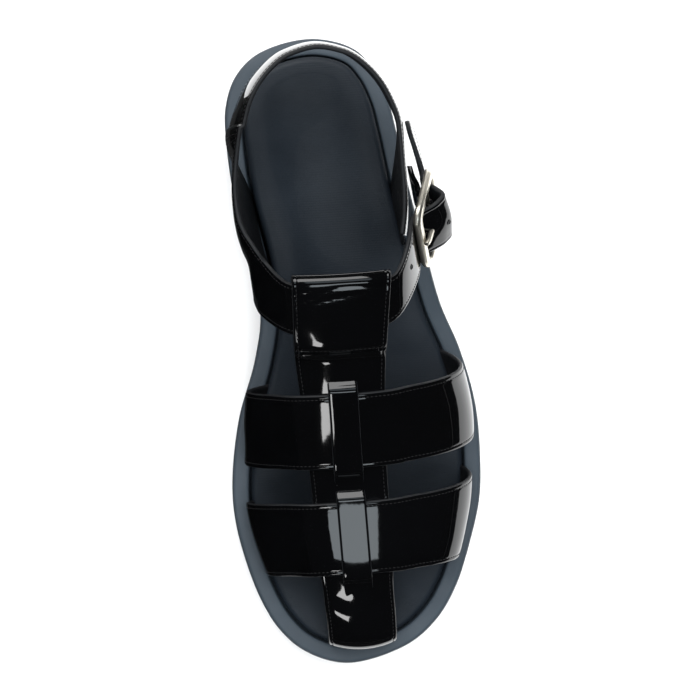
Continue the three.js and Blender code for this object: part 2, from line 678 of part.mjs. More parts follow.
function legRow(row, side) {
  const lowX = ringX(strapFoot, row.lowY, side);
  return {
    top: vec(row.topX, row.topY, row.topZ),
    low: vec(lowX, row.lowY, rimHeight(row.lowY) - STRAP_TUCK),
    belly: row.belly,
  };
}
function edgeRow({ topX, topY, topZ, lowX, lowY, lowZ, belly }) {
  return { top: vec(topX, topY, topZ), low: vec(lowX, lowY, lowZ), belly };
}
function heelRow(angle) {
  const place = ({ x, y, across, back, sideZ, backZ }) =>
    vec(
      x + across * Math.cos(angle),
      y + back * Math.sin(angle),
      mix(sideZ, backZ, Math.sin(angle)),
    );
  return { top: place(heelTop), low: place(heelLow), belly: HEEL_BELLY };
}
function instepRow({ topX, topY, lowX, lowY, rise }) {
  const lift = BAND_LIFT * STRAP + rise;
  return {
    top: vec(topX, topY, lastHeight(topX, topY) + lift),
    low: vec(lowX, lowY, lastHeight(lowX, lowY) + lift),
    belly: 0,
  };
}
function buckleRow(length, height, half = STRAP_END_WIDTH / 2) {
  return { top: framePlace(length, -half, height), low: framePlace(length, half, height), belly: 0 };
}
function tailRow(share, width) {
  const from = framePlace(FRAME_LENGTH, 0, underBar - TAIL_DROP);
  const middle = from.clone().lerp(TAIL_END, share);
  const half = (STRAP_END_WIDTH / 2) * width;
  const across = frameAcross.clone().lerp(TAIL_DOWN, share).normalize();
  return { top: along(middle, across, -half), low: along(middle, across, half), belly: 0 };
}
const heelRows = Array.from({ length: HEEL_STEPS + 1 }, (_, i) =>
  heelRow(mix(0.06, 0.94, i / HEEL_STEPS) * Math.PI),
);
// The inner leg laps the heel piece: the step's place and length, and the stretch that sinks back, in rows
const LAP = { row: outerLegRows.length + heelRows.length - 1.3, step: 0.12, sinks: 3, over: 2.5 };
const BELLY_AT = 0.6; // a belly is fullest here, from the low edge to the top
const bellyShape = (across) => Math.max(0, across) ** 1.5 * (1 - across);
const bandRows = [
  ...outerLegRows.map((row) => legRow(row, 1)),
  ...heelRows,
  ...innerLegRows.map((row) => legRow(row, -1)),
  ...innerEdgeRows.map(edgeRow),
  ...instepRows.map(instepRow),
  buckleRow(-6, underBar + 0.6),
  buckleRow(0, underBar),
  buckleRow(FRAME_BAR + 1, underBar),
  buckleRow(pivotLength - 2.5, mix(underBar, overPivot, 0.85)),
  buckleRow(pivotLength + 2.5, overPivot),
  buckleRow(FRAME_LENGTH - FRAME_BAR - 1.4, underBar),
  buckleRow(FRAME_LENGTH, underBar - TAIL_DROP),
  tailRow(0.35, 1),
  tailRow(0.75, 1),
  tailRow(0.93, 0.72),
  tailRow(1, 0.3),
];
function makeBand() {
  const table = bandRows.map(({ top, low, belly }) => ({
    topX: top.x, topY: top.y, topZ: top.z, lowX: low.x, lowY: low.y, lowZ: low.z, belly,
  }));
  const of = Object.fromEntries(Object.keys(table[0]).map((name) => [name, columnCurve(table, name)]));
  const edges = (row) => [
    vec(of.lowX(row), of.lowY(row), of.lowZ(row)),
    vec(of.topX(row), of.topY(row), of.topZ(row)),
  ];
  const flat = (row, across) => {
    const [low, top] = edges(row);
    return low.lerp(top, across);
  };
  const point = (run, across) => {
    const row = run * (table.length - 1);
    const onward = flat(row + 0.01, across).sub(flat(row - 0.01, across));
    const out = onward.cross(flat(row, 1).sub(flat(row, 0))).normalize();
    const swell = (of.belly(row) * bellyShape(across)) / bellyShape(BELLY_AT);
    const past = row - LAP.row;
    const lap = ease(past / LAP.step) - ease((past - LAP.sinks) / LAP.over);
    return along(flat(row, across), out, swell + INNER_LAP * lap);
  };
  return (grow) => strap(point, 3 * (table.length - 1), STRAP, grow);
}

// Upper: every strap joined where it crosses another, and punched for the prong
const tStrap = makeTStrap();
const band = makeBand();
const crosses = crossStraps.map((cross) => crossPoint(cross));
const crossSolids = (grow) => crosses.map((point) => strap(point, CROSS_STEPS, STRAP, grow));
const upper = [tStrap(0), band(0), ...crossStraps.map(makeLoop)]
  .reduce((whole, piece) => whole.add(piece), crossSolids(0).reduce((a, b) => a.add(b)))
  .subtract(makeProng(GAP));
const strapRoom = [tStrap(GAP), band(GAP), ...crossSolids(GAP)].reduce((a, b) => a.add(b));

// Assembly

const finishes = {
  sole: { color: 0x353d46, roughness: 0.75, metalness: 0 },
  footbed: { color: 0x20262c, roughness: 0.6, metalness: 0 },
  patent: { color: 0x050506, roughness: 0.06, metalness: 0 },
  metal: { color: 0xcfc8b8, roughness: 0.25, metalness: 1 },
};
const pieces = [
  { name: 'sole', made: mainBody(makeSole().subtract(strapRoom)), finish: 'sole' },
  { name: 'footbed', made: mainBody(makeFootbed().subtract(strapRoom)), finish: 'footbed' },
  { name: 'upper', made: upper, finish: 'patent' },
  { name: 'buckle_chape', made: makeChape(), finish: 'patent' },
  { name: 'buckle_frame', made: makeFrame(), finish: 'metal' },
  { name: 'buckle_prong', made: makeProng(), finish: 'metal' },
];

// The box's middle lies beside the shoe's axis, because the ball bulges outwards
const widest = outlineRows.reduce((a, b) => ({
  inner: Math.max(a.inner, b.inner),
  outer: Math.max(a.outer, b.outer),
}));
const sandal = new THREE.Group();
const onAxis = new THREE.Group();
onAxis.position.x = (widest.inner - widest.outer) / 2;
sandal.add(onAxis);
for (const { name, made, finish } of pieces) {
  const mesh = new THREE.Mesh(geometryOf(made), new THREE.MeshStandardMaterial(finishes[finish]));
  mesh.name = name;
  onAxis.add(mesh);
}

export default sandal;
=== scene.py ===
# Left sandal in black patent leather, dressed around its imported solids
import math

import bmesh
import bpy
import numpy as np
from mathutils import Matrix, Vector


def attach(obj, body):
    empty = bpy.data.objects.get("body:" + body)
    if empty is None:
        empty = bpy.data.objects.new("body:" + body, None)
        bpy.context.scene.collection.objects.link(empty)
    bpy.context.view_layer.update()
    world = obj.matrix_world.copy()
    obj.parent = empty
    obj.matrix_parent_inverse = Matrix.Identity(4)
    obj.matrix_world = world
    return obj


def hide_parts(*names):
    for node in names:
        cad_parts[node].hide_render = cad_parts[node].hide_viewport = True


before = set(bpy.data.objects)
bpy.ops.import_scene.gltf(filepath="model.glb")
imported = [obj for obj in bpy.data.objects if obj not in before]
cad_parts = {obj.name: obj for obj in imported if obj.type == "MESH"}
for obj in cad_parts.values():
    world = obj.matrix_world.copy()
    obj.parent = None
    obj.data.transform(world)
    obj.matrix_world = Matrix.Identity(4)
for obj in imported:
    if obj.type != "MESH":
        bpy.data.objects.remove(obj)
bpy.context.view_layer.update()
print("frame loaded with", len(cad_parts), "solids")


# Curves. Sizes are millimetres about the shoe's own axis: -y is the toe, +x the outer side, z = 0 the floor

def mix(a, b, t):
    return a + (b - a) * t


def ease(t):
    t = np.clip(t, 0, 1)
    return t * t * (3 - 2 * t)


def unit(v):
    return v / np.linalg.norm(v, axis=-1, keepdims=True)


def table(names, *rows):
    return [dict(zip(names.split(), row)) for row in rows]


# smooth curve through one column of a table, with no overshoot between rows
def columnCurve(rows, name, key=None):
    ys = np.array([row[name] for row in rows], float)
    xs = np.array([row[key] if key else i for i, row in enumerate(rows)], float)
    rise = np.diff(ys) / np.diff(xs)
    before = np.append(rise[:1], rise)
    after = np.append(rise, rise[-1:])
    both = before * after
    slope = np.where(both > 0, 2 * both / np.where(both > 0, before + after, 1), 0)

    def curve(x):
        inside = np.clip(x, xs[0], xs[-1])
        i = np.clip(np.searchsorted(xs, inside, side="right") - 1, 0, len(xs) - 2)
        step = xs[i + 1] - xs[i]
        t = (inside - xs[i]) / step
        y = ys[i] * (1 + 2 * t) * (1 - t) ** 2 + ys[i + 1] * t * t * (3 - 2 * t)
        y = y + step * (slope[i] * t * (1 - t) ** 2 - slope[i + 1] * t * t * (1 - t))
        past = np.asarray(x) - inside
        return y + np.where(past < 0, slope[0], slope[-1]) * past
    return curve


# rounded path through a list of points, evenly spaced or closed on itself
def roundedPath(points, count, closed=False, start=0.0):
    points = np.array(points, float)
    if closed:
        ring = np.vstack([points[-1:], points, points[:2]])
    else:
        ring = np.vstack([2 * points[0] - points[1], points, 2 * points[-1] - points[-2]])
    t = np.linspace(0, 1, 40, endpoint=False)[:, None]
    spans = []
    for a, b, c, d in zip(ring, ring[1:], ring[2:], ring[3:]):
        ab, bc, cd = (math.sqrt(np.linalg.norm(q - p)) for p, q in ((a, b), (b, c), (c, d)))
        leave = bc * ((b - a) / ab - (c - a) / (ab + bc) + (c - b) / bc)
        arrive = bc * ((c - b) / bc - (d - b) / (bc + cd) + (d - c) / cd)
        spans.append(b + leave * t + (3 * (c - b) - 2 * leave - arrive) * t ** 2
                     + (2 * (b - c) + leave + arrive) * t ** 3)
    path = np.vstack(spans + [points[:1] if closed else points[-1:]])
    run = np.append(0, np.cumsum(np.linalg.norm(np.diff(path, axis=0), axis=1)))
    places = (np.arange(count) + start) / (count if closed else count - 1) * run[-1]
    return np.stack([np.interp(places, run, path[:, k]) for k in range(3)], axis=1), run[-1]


# Node helpers. A value that is a socket is linked, any other value is set on the input

def addNode(tree, kind, inputs=None, **settings):
    node = tree.nodes.new(kind)
    for name, value in settings.items():
        setattr(node, name, value)
    for name, value in (inputs or {}).items():
        socket = node.inputs[name]
        if isinstance(value, bpy.types.NodeSocket):
            tree.links.new(value, socket)
        else:
            socket.default_value = value
    return node


def shaderGroup(name, inputs, outputs):
    tree = bpy.data.node_groups.new(name, "ShaderNodeTree")
    for label, value in inputs.items():
        socket = tree.interface.new_socket(label, in_out="INPUT", socket_type="NodeSocketFloat")
        socket.default_value = value
    for label in outputs:
        tree.interface.new_socket(label, in_out="OUTPUT", socket_type="NodeSocketFloat")
    return tree, tree.nodes.new("NodeGroupInput").outputs, tree.nodes.new("NodeGroupOutput").inputs


def placeGroup(tree, group, **inputs):
    node = tree.nodes.new("ShaderNodeGroup")
    node.node_tree = group
    for name, value in inputs.items():
        node.inputs[name].default_value = value
    return node.outputs


def mathNode(tree, operation, a, b=0.0, c=0.0):
    return addNode(tree, "ShaderNodeMath", {0: a, 1: b, 2: c}, operation=operation).outputs[0]


# Shared surface effects

# pebbled leather: small cells with finer pores between them
def makeLeatherGrain():
    tree, given, out = shaderGroup("leatherGrain", {"Scale": 900.0, "Pores": 0.4}, ["Height"])
    where = addNode(tree, "ShaderNodeTexCoord").outputs["Object"]
    cells = addNode(tree, "ShaderNodeTexVoronoi", {"Vector": where, "Scale": given["Scale"]},
                    feature="DISTANCE_TO_EDGE")
    pebble = mathNode(tree, "SMOOTH_MIN", cells.outputs["Distance"], 0.25, 0.1)
    fine = addNode(tree, "ShaderNodeTexNoise", {"Vector": where, "Detail": 3.0,
                   "Scale": mathNode(tree, "MULTIPLY", given["Scale"], 2.3)})
    pores = mathNode(tree, "MULTIPLY", fine.outputs["Fac"], given["Pores"])
    tree.links.new(mathNode(tree, "ADD", pebble, pores), out["Height"])
    return tree


# slow dents and swells that bend a mirror finish
def makeSoftDents():
    tree, given, out = shaderGroup("softDents", {"Scale": 45.0, "Fine": 0.12}, ["Height"])
    where = addNode(tree, "ShaderNodeTexCoord").outputs["Object"]
    slow = addNode(tree, "ShaderNodeTexNoise", {"Vector": where, "Scale": given["Scale"], "Detail": 1.0})
    quick = addNode(tree, "ShaderNodeTexNoise", {"Vector": where, "Detail": 1.0,
                    "Scale": mathNode(tree, "MULTIPLY", given["Scale"], 9.0)})
    fine = mathNode(tree, "MULTIPLY", quick.outputs["Fac"], given["Fine"])
    tree.links.new(mathNode(tree, "ADD", slow.outputs["Fac"], fine), out["Height"])
    return tree


# uneven handling: a value that drifts between two limits
def makeHandling():
    tree, given, out = shaderGroup("handling", {"Scale": 60.0, "Low": 0.4, "High": 0.6}, ["Value"])
    where = addNode(tree, "ShaderNodeTexCoord").outputs["Object"]
    drift = addNode(tree, "ShaderNodeTexNoise", {"Vector": where, "Scale": given["Scale"], "Detail": 5.0})
    spread = addNode(tree, "ShaderNodeMapRange", {"Value": drift.outputs["Fac"], "From Min": 0.3,
                     "From Max": 0.7, "To Min": given["Low"], "To Max": given["High"]})
    tree.links.new(spread.outputs["Result"], out["Value"])
    return tree


# fine straight lines across the foot, each a little broken
def makeRibLines():
    tree, given, out = shaderGroup("ribLines", {"Pitch": 0.0011, "Broken": 0.35}, ["Height"])
    where = addNode(tree, "ShaderNodeTexCoord").outputs["Object"]
    split = addNode(tree, "ShaderNodeSeparateXYZ", {"Vector": where}).outputs
    turns = mathNode(tree, "DIVIDE", split["Y"], given["Pitch"])
    wave = mathNode(tree, "SINE", mathNode(tree, "MULTIPLY", turns, 2 * math.pi))
    stretch = addNode(tree, "ShaderNodeMapping", {"Vector": where, "Scale": (120.0, 900.0, 120.0)})
    noise = addNode(tree, "ShaderNodeTexNoise",
                    {"Vector": stretch.outputs["Vector"], "Scale": 1.0, "Detail": 3.0})
    broken = mathNode(tree, "MULTIPLY", noise.outputs["Fac"], given["Broken"])
    level = mathNode(tree, "MULTIPLY_ADD", wave, 0.25, 0.5)
    tree.links.new(mathNode(tree, "ADD", level, broken), out["Height"])
    return tree


leatherGrain = makeLeatherGrain()
softDents = makeSoftDents()
handling = makeHandling()
ribLines = makeRibLines()


# Materials

def newMaterial(name):
    material = bpy.data.materials.new(name)
    material.use_nodes = True
    tree = material.node_tree
    return material, tree, tree.nodes["Principled BSDF"].inputs


def bumpFrom(tree, height, distance, before=None):
    inputs = {"Height": height, "Distance": distance, "Strength": 1.0}
    if before:
        inputs["Normal"] = before
    return addNode(tree, "ShaderNodeBump", inputs).outputs["Normal"]


def shadeBetween(tree, mask, dark, light):
    node = addNode(tree, "ShaderNodeMix", data_type="RGBA")
    tree.links.new(mask, node.inputs[0])
    node.inputs[6].default_value = (*dark, 1)
    node.inputs[7].default_value = (*light, 1)
    return node.outputs[2]


# colour that drifts from dark to light, roughness that varies with handling (scale, least, most),
# and reliefs from the finest up (effect, its values, depth in metres)
def makeFinish(name, finish):
    material, tree, shader = newMaterial(name)
    cloud = placeGroup(tree, handling, Scale=finish["cloud"], Low=0.0, High=1.0)["Value"]
    tree.links.new(shadeBetween(tree, cloud, finish["dark"], finish["light"]), shader["Base Color"])
    scale, least, most = finish["rough"]
    worn = placeGroup(tree, handling, Scale=scale, Low=least, High=most)["Value"]
    tree.links.new(worn, shader["Roughness"])
    normal = None
    for effect, values, depth in finish["relief"]:
        normal = bumpFrom(tree, placeGroup(tree, effect, **values)["Height"], depth, normal)
    if normal:
        tree.links.new(normal, shader["Normal"])
    for label, value in finish["also"].items():
        shader[label].default_value = value
    return material


patent = makeFinish("patentLeather", {
    "dark": (0.0007, 0.00075, 0.0009), "light": (0.0012, 0.0013, 0.0016), "cloud": 20.0,
    "rough": (35.0, 0.035, 0.075), "also": {"IOR": 1.52},
    "relief": [(softDents, {"Scale": 38.0, "Fine": 0.02}, 0.00035)]})
lining = makeFinish("strapLining", {
    "dark": (0.0030, 0.0034, 0.0042), "light": (0.0050, 0.0056, 0.0068), "cloud": 70.0,
    "rough": (90.0, 0.55, 0.68), "also": {},
    "relief": [(leatherGrain, {"Scale": 1100.0, "Pores": 0.5}, 0.00006)]})
insoleLeather = makeFinish("insoleLeather", {
    "dark": (0.0064, 0.0092, 0.0130), "light": (0.0092, 0.0128, 0.0176), "cloud": 40.0,
    "rough": (55.0, 0.48, 0.6), "also": {"Specular IOR Level": 0.3},
    "relief": [(leatherGrain, {"Scale": 1500.0, "Pores": 0.4}, 0.00004),
               (ribLines, {"Pitch": 0.0010, "Broken": 0.8}, 0.000035)]})
soleRubber = makeFinish("soleRubber", {
    "dark": (0.0245, 0.0335, 0.043), "light": (0.0325, 0.0435, 0.055), "cloud": 30.0,
    "rough": (80.0, 0.55, 0.7), "also": {},
    "relief": [(leatherGrain, {"Scale": 2200.0, "Pores": 0.8}, 0.00003)]})
buckleMetal = makeFinish("buckleMetal", {
    "dark": (0.84, 0.79, 0.68), "light": (0.92, 0.88, 0.78), "cloud": 160.0,
    "rough": (300.0, 0.34, 0.42), "also": {"Metallic": 1},
    "relief": [(softDents, {"Scale": 900.0, "Fine": 0.5}, 0.000002)]})
thread = makeFinish("blackThread", {
    "dark": (0.003, 0.003, 0.0034), "light": (0.009, 0.009, 0.0095), "cloud": 2600.0,
    "rough": (2600.0, 0.5, 0.65), "also": {"Specular IOR Level": 0.25}, "relief": []})
print("materials ready")


# Mesh helpers

outlineRows = table(
    "y inner outer",
    (126, 22.0, 17.8), (117, 32.0, 25.8), (105, 36.8, 30.9), (92, 37.6, 33.6), (66, 35.6, 37.8),
    (40, 30.4, 43.2), (17, 27.6, 48.4), (-2, 31.1, 55.4), (-26, 39.2, 60.8), (-50, 43.4, 61.4),
    (-66, 43.6, 60.0), (-83, 40.7, 55.2), (-102, 34.8, 47.7), (-115, 27.8, 38.8), (-125, 17.4, 25.6))
widestInner = max(row["inner"] for row in outlineRows)
widestOuter = max(row["outer"] for row in outlineRows)
axisX = (widestInner - widestOuter) / 2  # of the shoe's axis in the frame


def toFrame(points):
    return (np.asarray(points, float).reshape(-1, 3) + (axisX, 0, 0)) / 1000


def linked(name, data):
    thing = bpy.data.objects.new(name, data)
    bpy.context.scene.collection.objects.link(thing)
    return thing


def addPiece(name, points, faces, materials, slot, faceMaterial=None, stands=None):
    mesh = bpy.data.meshes.new(name)
    mesh.from_pydata(toFrame(points).tolist(), [], [tuple(map(int, face)) for face in faces])
    for material in materials:
        mesh.materials.append(material)
    if faceMaterial is not None:
        mesh.polygons.foreach_set("material_index", faceMaterial)
    shell = bmesh.new()
    shell.from_mesh(mesh)
    bmesh.ops.recalc_face_normals(shell, faces=shell.faces)
    shell.to_mesh(mesh)
    shell.free()
    mesh.polygons.foreach_set("use_smooth", [True] * len(mesh.polygons))
    return settle(linked(name, mesh), stands)


def settle(piece, stands=None):
    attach(piece, "root")
    if stands:
        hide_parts(stands)
    return piece


# quads between rings of points, row after row
def ringQuads(rings, count, closed=False):
    quads = []
    for r in range(rings if closed else rings - 1):
        here = r * count
        after = (r + 1) % rings * count
        for i in range(count):
            j = (i + 1) % count
            quads.append((here + i, here + j, after + j, after + i))
    return quads


# Sole and footbed

sole = {"length": 262, "rimWidth": 7, "rimBall": 25, "rimHeel": 31, "rimToeLift": 4,
        "toeSpring": 8, "springStart": -78, "heelBevel": 2, "bevelStart": 112,
        "archLift": 3, "archStart": -12, "archEnd": 50, "recess": 7, "core": 15,
        "ringPoints": 480, "coreColumns": 36,
        "ribPitch": 7.0, "ribDepth": 0.7, "ribFade": 4, "ribToeGap": 8, "ribToeBlend": 16,
        "ribGap": 4, "ribBlend": 10, "ribEnd": 104}
toeEnd = -sole["length"] / 2
gap = 0.3
outline = roundedPath(
    [(0, -toeEnd, 0)] + [(row["outer"], row["y"], 0) for row in outlineRows]
    + [(0, toeEnd, 0)] + [(-row["inner"], row["y"], 0) for row in reversed(outlineRows)],
    sole["ringPoints"], closed=True, start=0.5)[0]
ahead = np.roll(outline, -1, axis=0) - np.roll(outline, 1, axis=0)
inward = unit(np.stack([ahead[:, 1], -ahead[:, 0], 0 * ahead[:, 0]], axis=1))
outerHalf = np.arange(sole["ringPoints"]) < sole["ringPoints"] / 2

rimHeight = columnCurve(
    table("y z", (toeEnd, sole["rimBall"] + sole["rimToeLift"]), (-75, sole["rimBall"]),
          (-15, sole["rimBall"]), (70, sole["rimHeel"]), (-toeEnd, sole["rimHeel"])), "z", "y")


def treadHeight(y):
    spring = np.clip((y - sole["springStart"]) / (toeEnd - sole["springStart"]), 0, 1)
    bevel = np.clip((y - sole["bevelStart"]) / (-toeEnd - sole["bevelStart"]), 0, 1)
    arch = np.clip((y - sole["archStart"]) / (sole["archEnd"] - sole["archStart"]), 0, 1)
    return (sole["toeSpring"] * spring ** 2 + sole["heelBevel"] * bevel ** 2
            + sole["archLift"] * np.sin(math.pi * arch) ** 2)


def ring(inset, height):
    moved = outline + inward * inset
    return np.stack([moved[:, 0], moved[:, 1], height(moved[:, 1])], axis=1)


# closes a ring's inside with columns from each point to the one that faces it
def coreGrid(edge, columns, lift=None):
    half = len(edge) // 2
    start, end = edge[:half], edge[::-1][:half]
    share = np.linspace(0, 1, columns + 1)
    grid = mix(start[:, None], end[:, None], share[None, :, None])
    if lift:
        wide = np.linalg.norm(end - start, axis=1)[:, None]
        grid[..., 2] = lift(grid[..., 1], share[None, :], wide)
    return grid


def gridQuads(rows, columns, first=0):
    return [(first + r * columns + c, first + r * columns + c + 1,
             first + (r + 1) * columns + c + 1, first + (r + 1) * columns + c)
            for r in range(rows - 1) for c in range(columns - 1)]


# a closed body from rings, with a grid across its first and last ring
def ringBody(rings, columns, lowLift=None, highLift=None):
    count = len(rings[0])
    points = [*rings]
    faces = ringQuads(len(rings), count)
    first = len(rings) * count
    for edge, lift in ((rings[0], lowLift), (rings[-1], highLift)):
        grid = coreGrid(edge, columns, lift)
        points.append(grid.reshape(-1, 3))
        faces += gridQuads(grid.shape[0], columns + 1, first)
        first += grid.shape[0] * (columns + 1)
    return np.vstack(points), faces


def weld(piece, distance=0.00002):
    shell = bmesh.new()
    shell.from_mesh(piece.data)
    bmesh.ops.remove_doubles(shell, verts=shell.verts, dist=distance)
    bmesh.ops.dissolve_degenerate(shell, edges=shell.edges, dist=distance / 10)
    bmesh.ops.recalc_face_normals(shell, faces=shell.faces)
    shell.to_mesh(piece.data)
    shell.free()


# shallow cross ribs under the heel and the ball, fading out at the edges and the waist
def treadRibs(y, share, wide):
    fade = ease(np.minimum(share, 1 - share) * wide / sole["ribFade"])
    gap, blend = sole["ribGap"], sole["ribBlend"]
    ball = ease((sole["springStart"] + sole["ribToeGap"] - y) / -sole["ribToeBlend"])
    heel = ease((y - sole["archEnd"] - gap) / blend) * ease((sole["ribEnd"] - y) / blend)
    flat = ball * ease((sole["archStart"] - gap - y) / blend) + heel
    wave = 0.5 - 0.5 * np.cos(2 * math.pi * y / sole["ribPitch"])
    return treadHeight(y) + sole["ribDepth"] * ease(wave * 1.6 - 0.3) * fade * flat


treadEdge = table("inset lift", (sole["core"], 0), (8, 0), (4, 0), (2.9, 0.22), (2.1, 0.75),
                  (1.55, 1.6), (1.1, 2.9), (0.7, 5))
rimEdge = table("inset drop", (0.2, 9), (0, 4), (0.03, 2.2), (0.2, 1.3), (0.55, 0.6), (1.05, 0.15),
                (1.7, 0), (3.5, 0), (5.4, 0), (6.2, 0.08), (6.7, 0.35), (6.95, 0.85),
                (sole["rimWidth"], 1.6), (sole["rimWidth"], sole["recess"]), (sole["core"], sole["recess"]))
rings = [ring(row["inset"], lambda y: treadHeight(y) + row["lift"]) for row in treadEdge]
rings += [ring(row["inset"], lambda y: rimHeight(y) - row["drop"]) for row in rimEdge]
soleUnit = addPiece("sole_unit", *ringBody(rings, sole["coreColumns"], lowLift=treadRibs),
                    [soleRubber], "sole", stands="sole")
weld(soleUnit)

footbed = {"groove": 0.9, "archRise": 4.5, "archY": 28, "archSpread": 26, "archInside": 0.3,
           "slopeStart": 13, "slopeWidth": 24, "edgeStart": 11, "edgeRows": 8}
bedEdge = columnCurve(table("y z", (toeEnd, 0.8), (-60, 1.2), (20, 2.5), (90, 4.0),
                            (-toeEnd, 4.0)), "z", "y")
bedDip = columnCurve(table("y z", (toeEnd, 1.0), (-70, 3.2), (-10, 2.6), (30, 4.0), (88, 7.0),
                           (-toeEnd, 6.0)), "z", "y")


# innerShare is 1 on the inner side of the foot and 0 on the outer side
def bedHeight(y, inset, innerShare):
    arch = np.exp(-((y - footbed["archY"]) / footbed["archSpread"]) ** 2)
    arch = footbed["archRise"] * arch * innerShare
    edge = bedEdge(y) + arch
    middle = bedEdge(y) - bedDip(y) + arch * footbed["archInside"]
    return rimHeight(y) + mix(edge, middle, ease((inset - footbed["slopeStart"]) / footbed["slopeWidth"]))


bedSide = sole["rimWidth"] + footbed["groove"]
bedInsets = np.linspace(footbed["edgeStart"], sole["core"], footbed["edgeRows"])
bedRows = table("inset drop", (bedSide, 3), (bedSide + 0.08, 2.2), (bedSide + 0.3, 1.5),
                (bedSide + 0.65, 0.95), (bedSide + 1.15, 0.45), (bedSide + 1.8, 0.14), (bedSide + 2.6, 0),
                *((inset, 0) for inset in bedInsets))
bedUnder = [ring(inset, lambda y: rimHeight(y) - sole["recess"] + gap) for inset in (sole["core"], bedSide)]
bedRings = [ring(row["inset"], lambda y: bedHeight(y, row["inset"], ~outerHalf) - row["drop"])
            for row in bedRows]
bedToe, bedHeel = bedRings[-1][:, 1].min(), bedRings[-1][:, 1].max()


# the middle dips away from its sides and its ends
def bedCore(y, share, wide):
    side = wide / math.pi * np.sin(math.pi * share)
    end = np.minimum(y - bedToe, bedHeel - y)
    return bedHeight(y, sole["core"] + side * end / np.maximum(np.hypot(side, end), 1e-6), ease(share))


insole = addPiece("insole", *ringBody(bedUnder + bedRings, sole["coreColumns"], highLift=bedCore),
                  [insoleLeather], "footbed", stands="footbed")
weld(insole)
print("sole and insole:", len(soleUnit.data.polygons), "and", len(insole.data.polygons), "faces")


# Last: the form that the straps are pulled over

lastRows = table(
    "x y z innerSwell outerSwell",
    (6.3, -121.7, 29.0, 0.0, 0.0), (6.2, -122.4, 38.0, 0.2, 1.0), (6.1, -120.2, 44.6, 0.4, 1.6),
    (5.8, -112.0, 49.8, 0.6, 2.4), (5.0, -98.0, 54.8, 0.8, 3.0), (4.4, -85.0, 58.2, 1.2, 3.2),
    (3.9, -70.0, 61.0, 1.8, 2.6), (3.4, -55.0, 64.5, 2.4, 2.4), (2.8, -40.0, 69.5, 3.2, 3.4),
    (2.4, -25.0, 75.5, 6.0, 4.2), (2.0, -10.0, 82.0, 9.2, 4.6), (2.0, 5.0, 88.0, 10.5, 4.8),
    (2.8, 20.0, 93.0, 11.0, 5.0), (3.7, 36.0, 97.5, 11.0, 5.0), (4.2, 52.0, 101.0, 11.0, 5.0))
straps = {"wall": 2.0, "tuck": 6.7, "toeBend": 34, "toeBendEnd": -97, "bendBlend": 10,
          "tuckShare": 0.06, "weaveSlope": 11, "weaveGap": 1, "weaveLift": 1.25,
          "loopWidth": 12, "loopWall": 1.6}
wall = straps["wall"]
lastFoot = ring(sole["rimWidth"] + gap + wall, rimHeight)
strapFoot = ring(sole["rimWidth"] + gap + wall / 2, rimHeight)
innerSwell = columnCurve(lastRows, "innerSwell", "y")
outerSwell = columnCurve(lastRows, "outerSwell", "y")
ridge, ridgeLength = roundedPath([(row["x"], row["y"], row["z"]) for row in lastRows], 600)
ridgeGirth = np.linspace(0, ridgeLength, len(ridge))
ridgeStart = unit(ridge[1] - ridge[0])


def girthAt(y):
    return np.interp(y, ridge[:, 1], ridgeGirth)


def ridgeAt(girth):
    girth = np.asarray(girth, float)
    place = np.stack([np.interp(girth, ridgeGirth, ridge[:, k]) for k in range(3)], axis=-1)
    return place + np.minimum(girth, 0)[..., None] * ridgeStart


# x where a ring crosses y on each side
def ringX(points, y, outer):
    half = len(points) // 2
    outerX = np.interp(y, points[half - 1::-1, 1], points[half - 1::-1, 0])
    innerX = np.interp(y, points[half:, 1], points[half:, 0])
    return np.where(outer, outerX, innerX)


def lastSide(y, outer):
    top = ridgeAt(girthAt(y))
    half = np.abs(ringX(lastFoot, y, outer) - top[..., 0])
    reach = half + np.where(outer, outerSwell(y), innerSwell(y))
    dip = np.arccos(half / reach)
    height = top[..., 2] - rimHeight(y)
    belt = height * np.sin(dip) / (1 + np.sin(dip))
    return top[..., 0], reach, dip, rimHeight(y) + belt, height - belt


# turn runs from -1 at the inner groove through 0 at the ridge to 1 at the outer groove
def lastPoint(y, turn):
    topX, reach, dip, belt, rise = lastSide(y, turn >= 0)
    angle = mix(math.pi / 2, -dip, np.abs(turn))
    side = np.where(turn < 0, -1, 1)
    return np.stack([topX + side * reach * np.cos(angle), y, belt + rise * np.sin(angle)], axis=-1)


def lastNormal(y, turn):
    small = 1e-3
    across = lastPoint(y, turn + small) - lastPoint(y, turn - small)
    onward = lastPoint(y + small, turn) - lastPoint(y - small, turn)
    return unit(np.cross(across, onward))


def lastHeight(x, y):
    outer = x >= ridgeAt(girthAt(y))[..., 0]
    topX, reach, dip, belt, rise = lastSide(y, outer)
    return belt + rise * np.sqrt(1 - np.clip(np.abs(x - topX) / reach, 0, 1) ** 2)


# Straps. point(run, across) is the middle of a strap's wall, and run x across points away from the foot

edgeFold = {"arcSteps": 6, "edgeZone": (1.0, 1.25, 1.5, 1.75, 2.0, 2.25, 2.5, 2.9, 3.6, 4.8),
            "zoneShare": 0.45, "middleSteps": 10, "stitchInset": 1.9, "stitchGroove": 0.14,
            "grooveWidth": 0.4, "roll": 0.03, "rollWidth": 0.5, "tip": 0.04, "tipSteps": 5}


def wallFrame(point, run, across):
    small = 1e-3
    onward = point(run + small, across) - point(run - small, across)
    sideways = point(run, across + small) - point(run, across - small)
    return unit(np.cross(onward, sideways)), unit(sideways)


def widthAt(point, run):
    return np.linalg.norm(point(run, np.ones_like(run)) - point(run, np.zeros_like(run)), axis=-1)


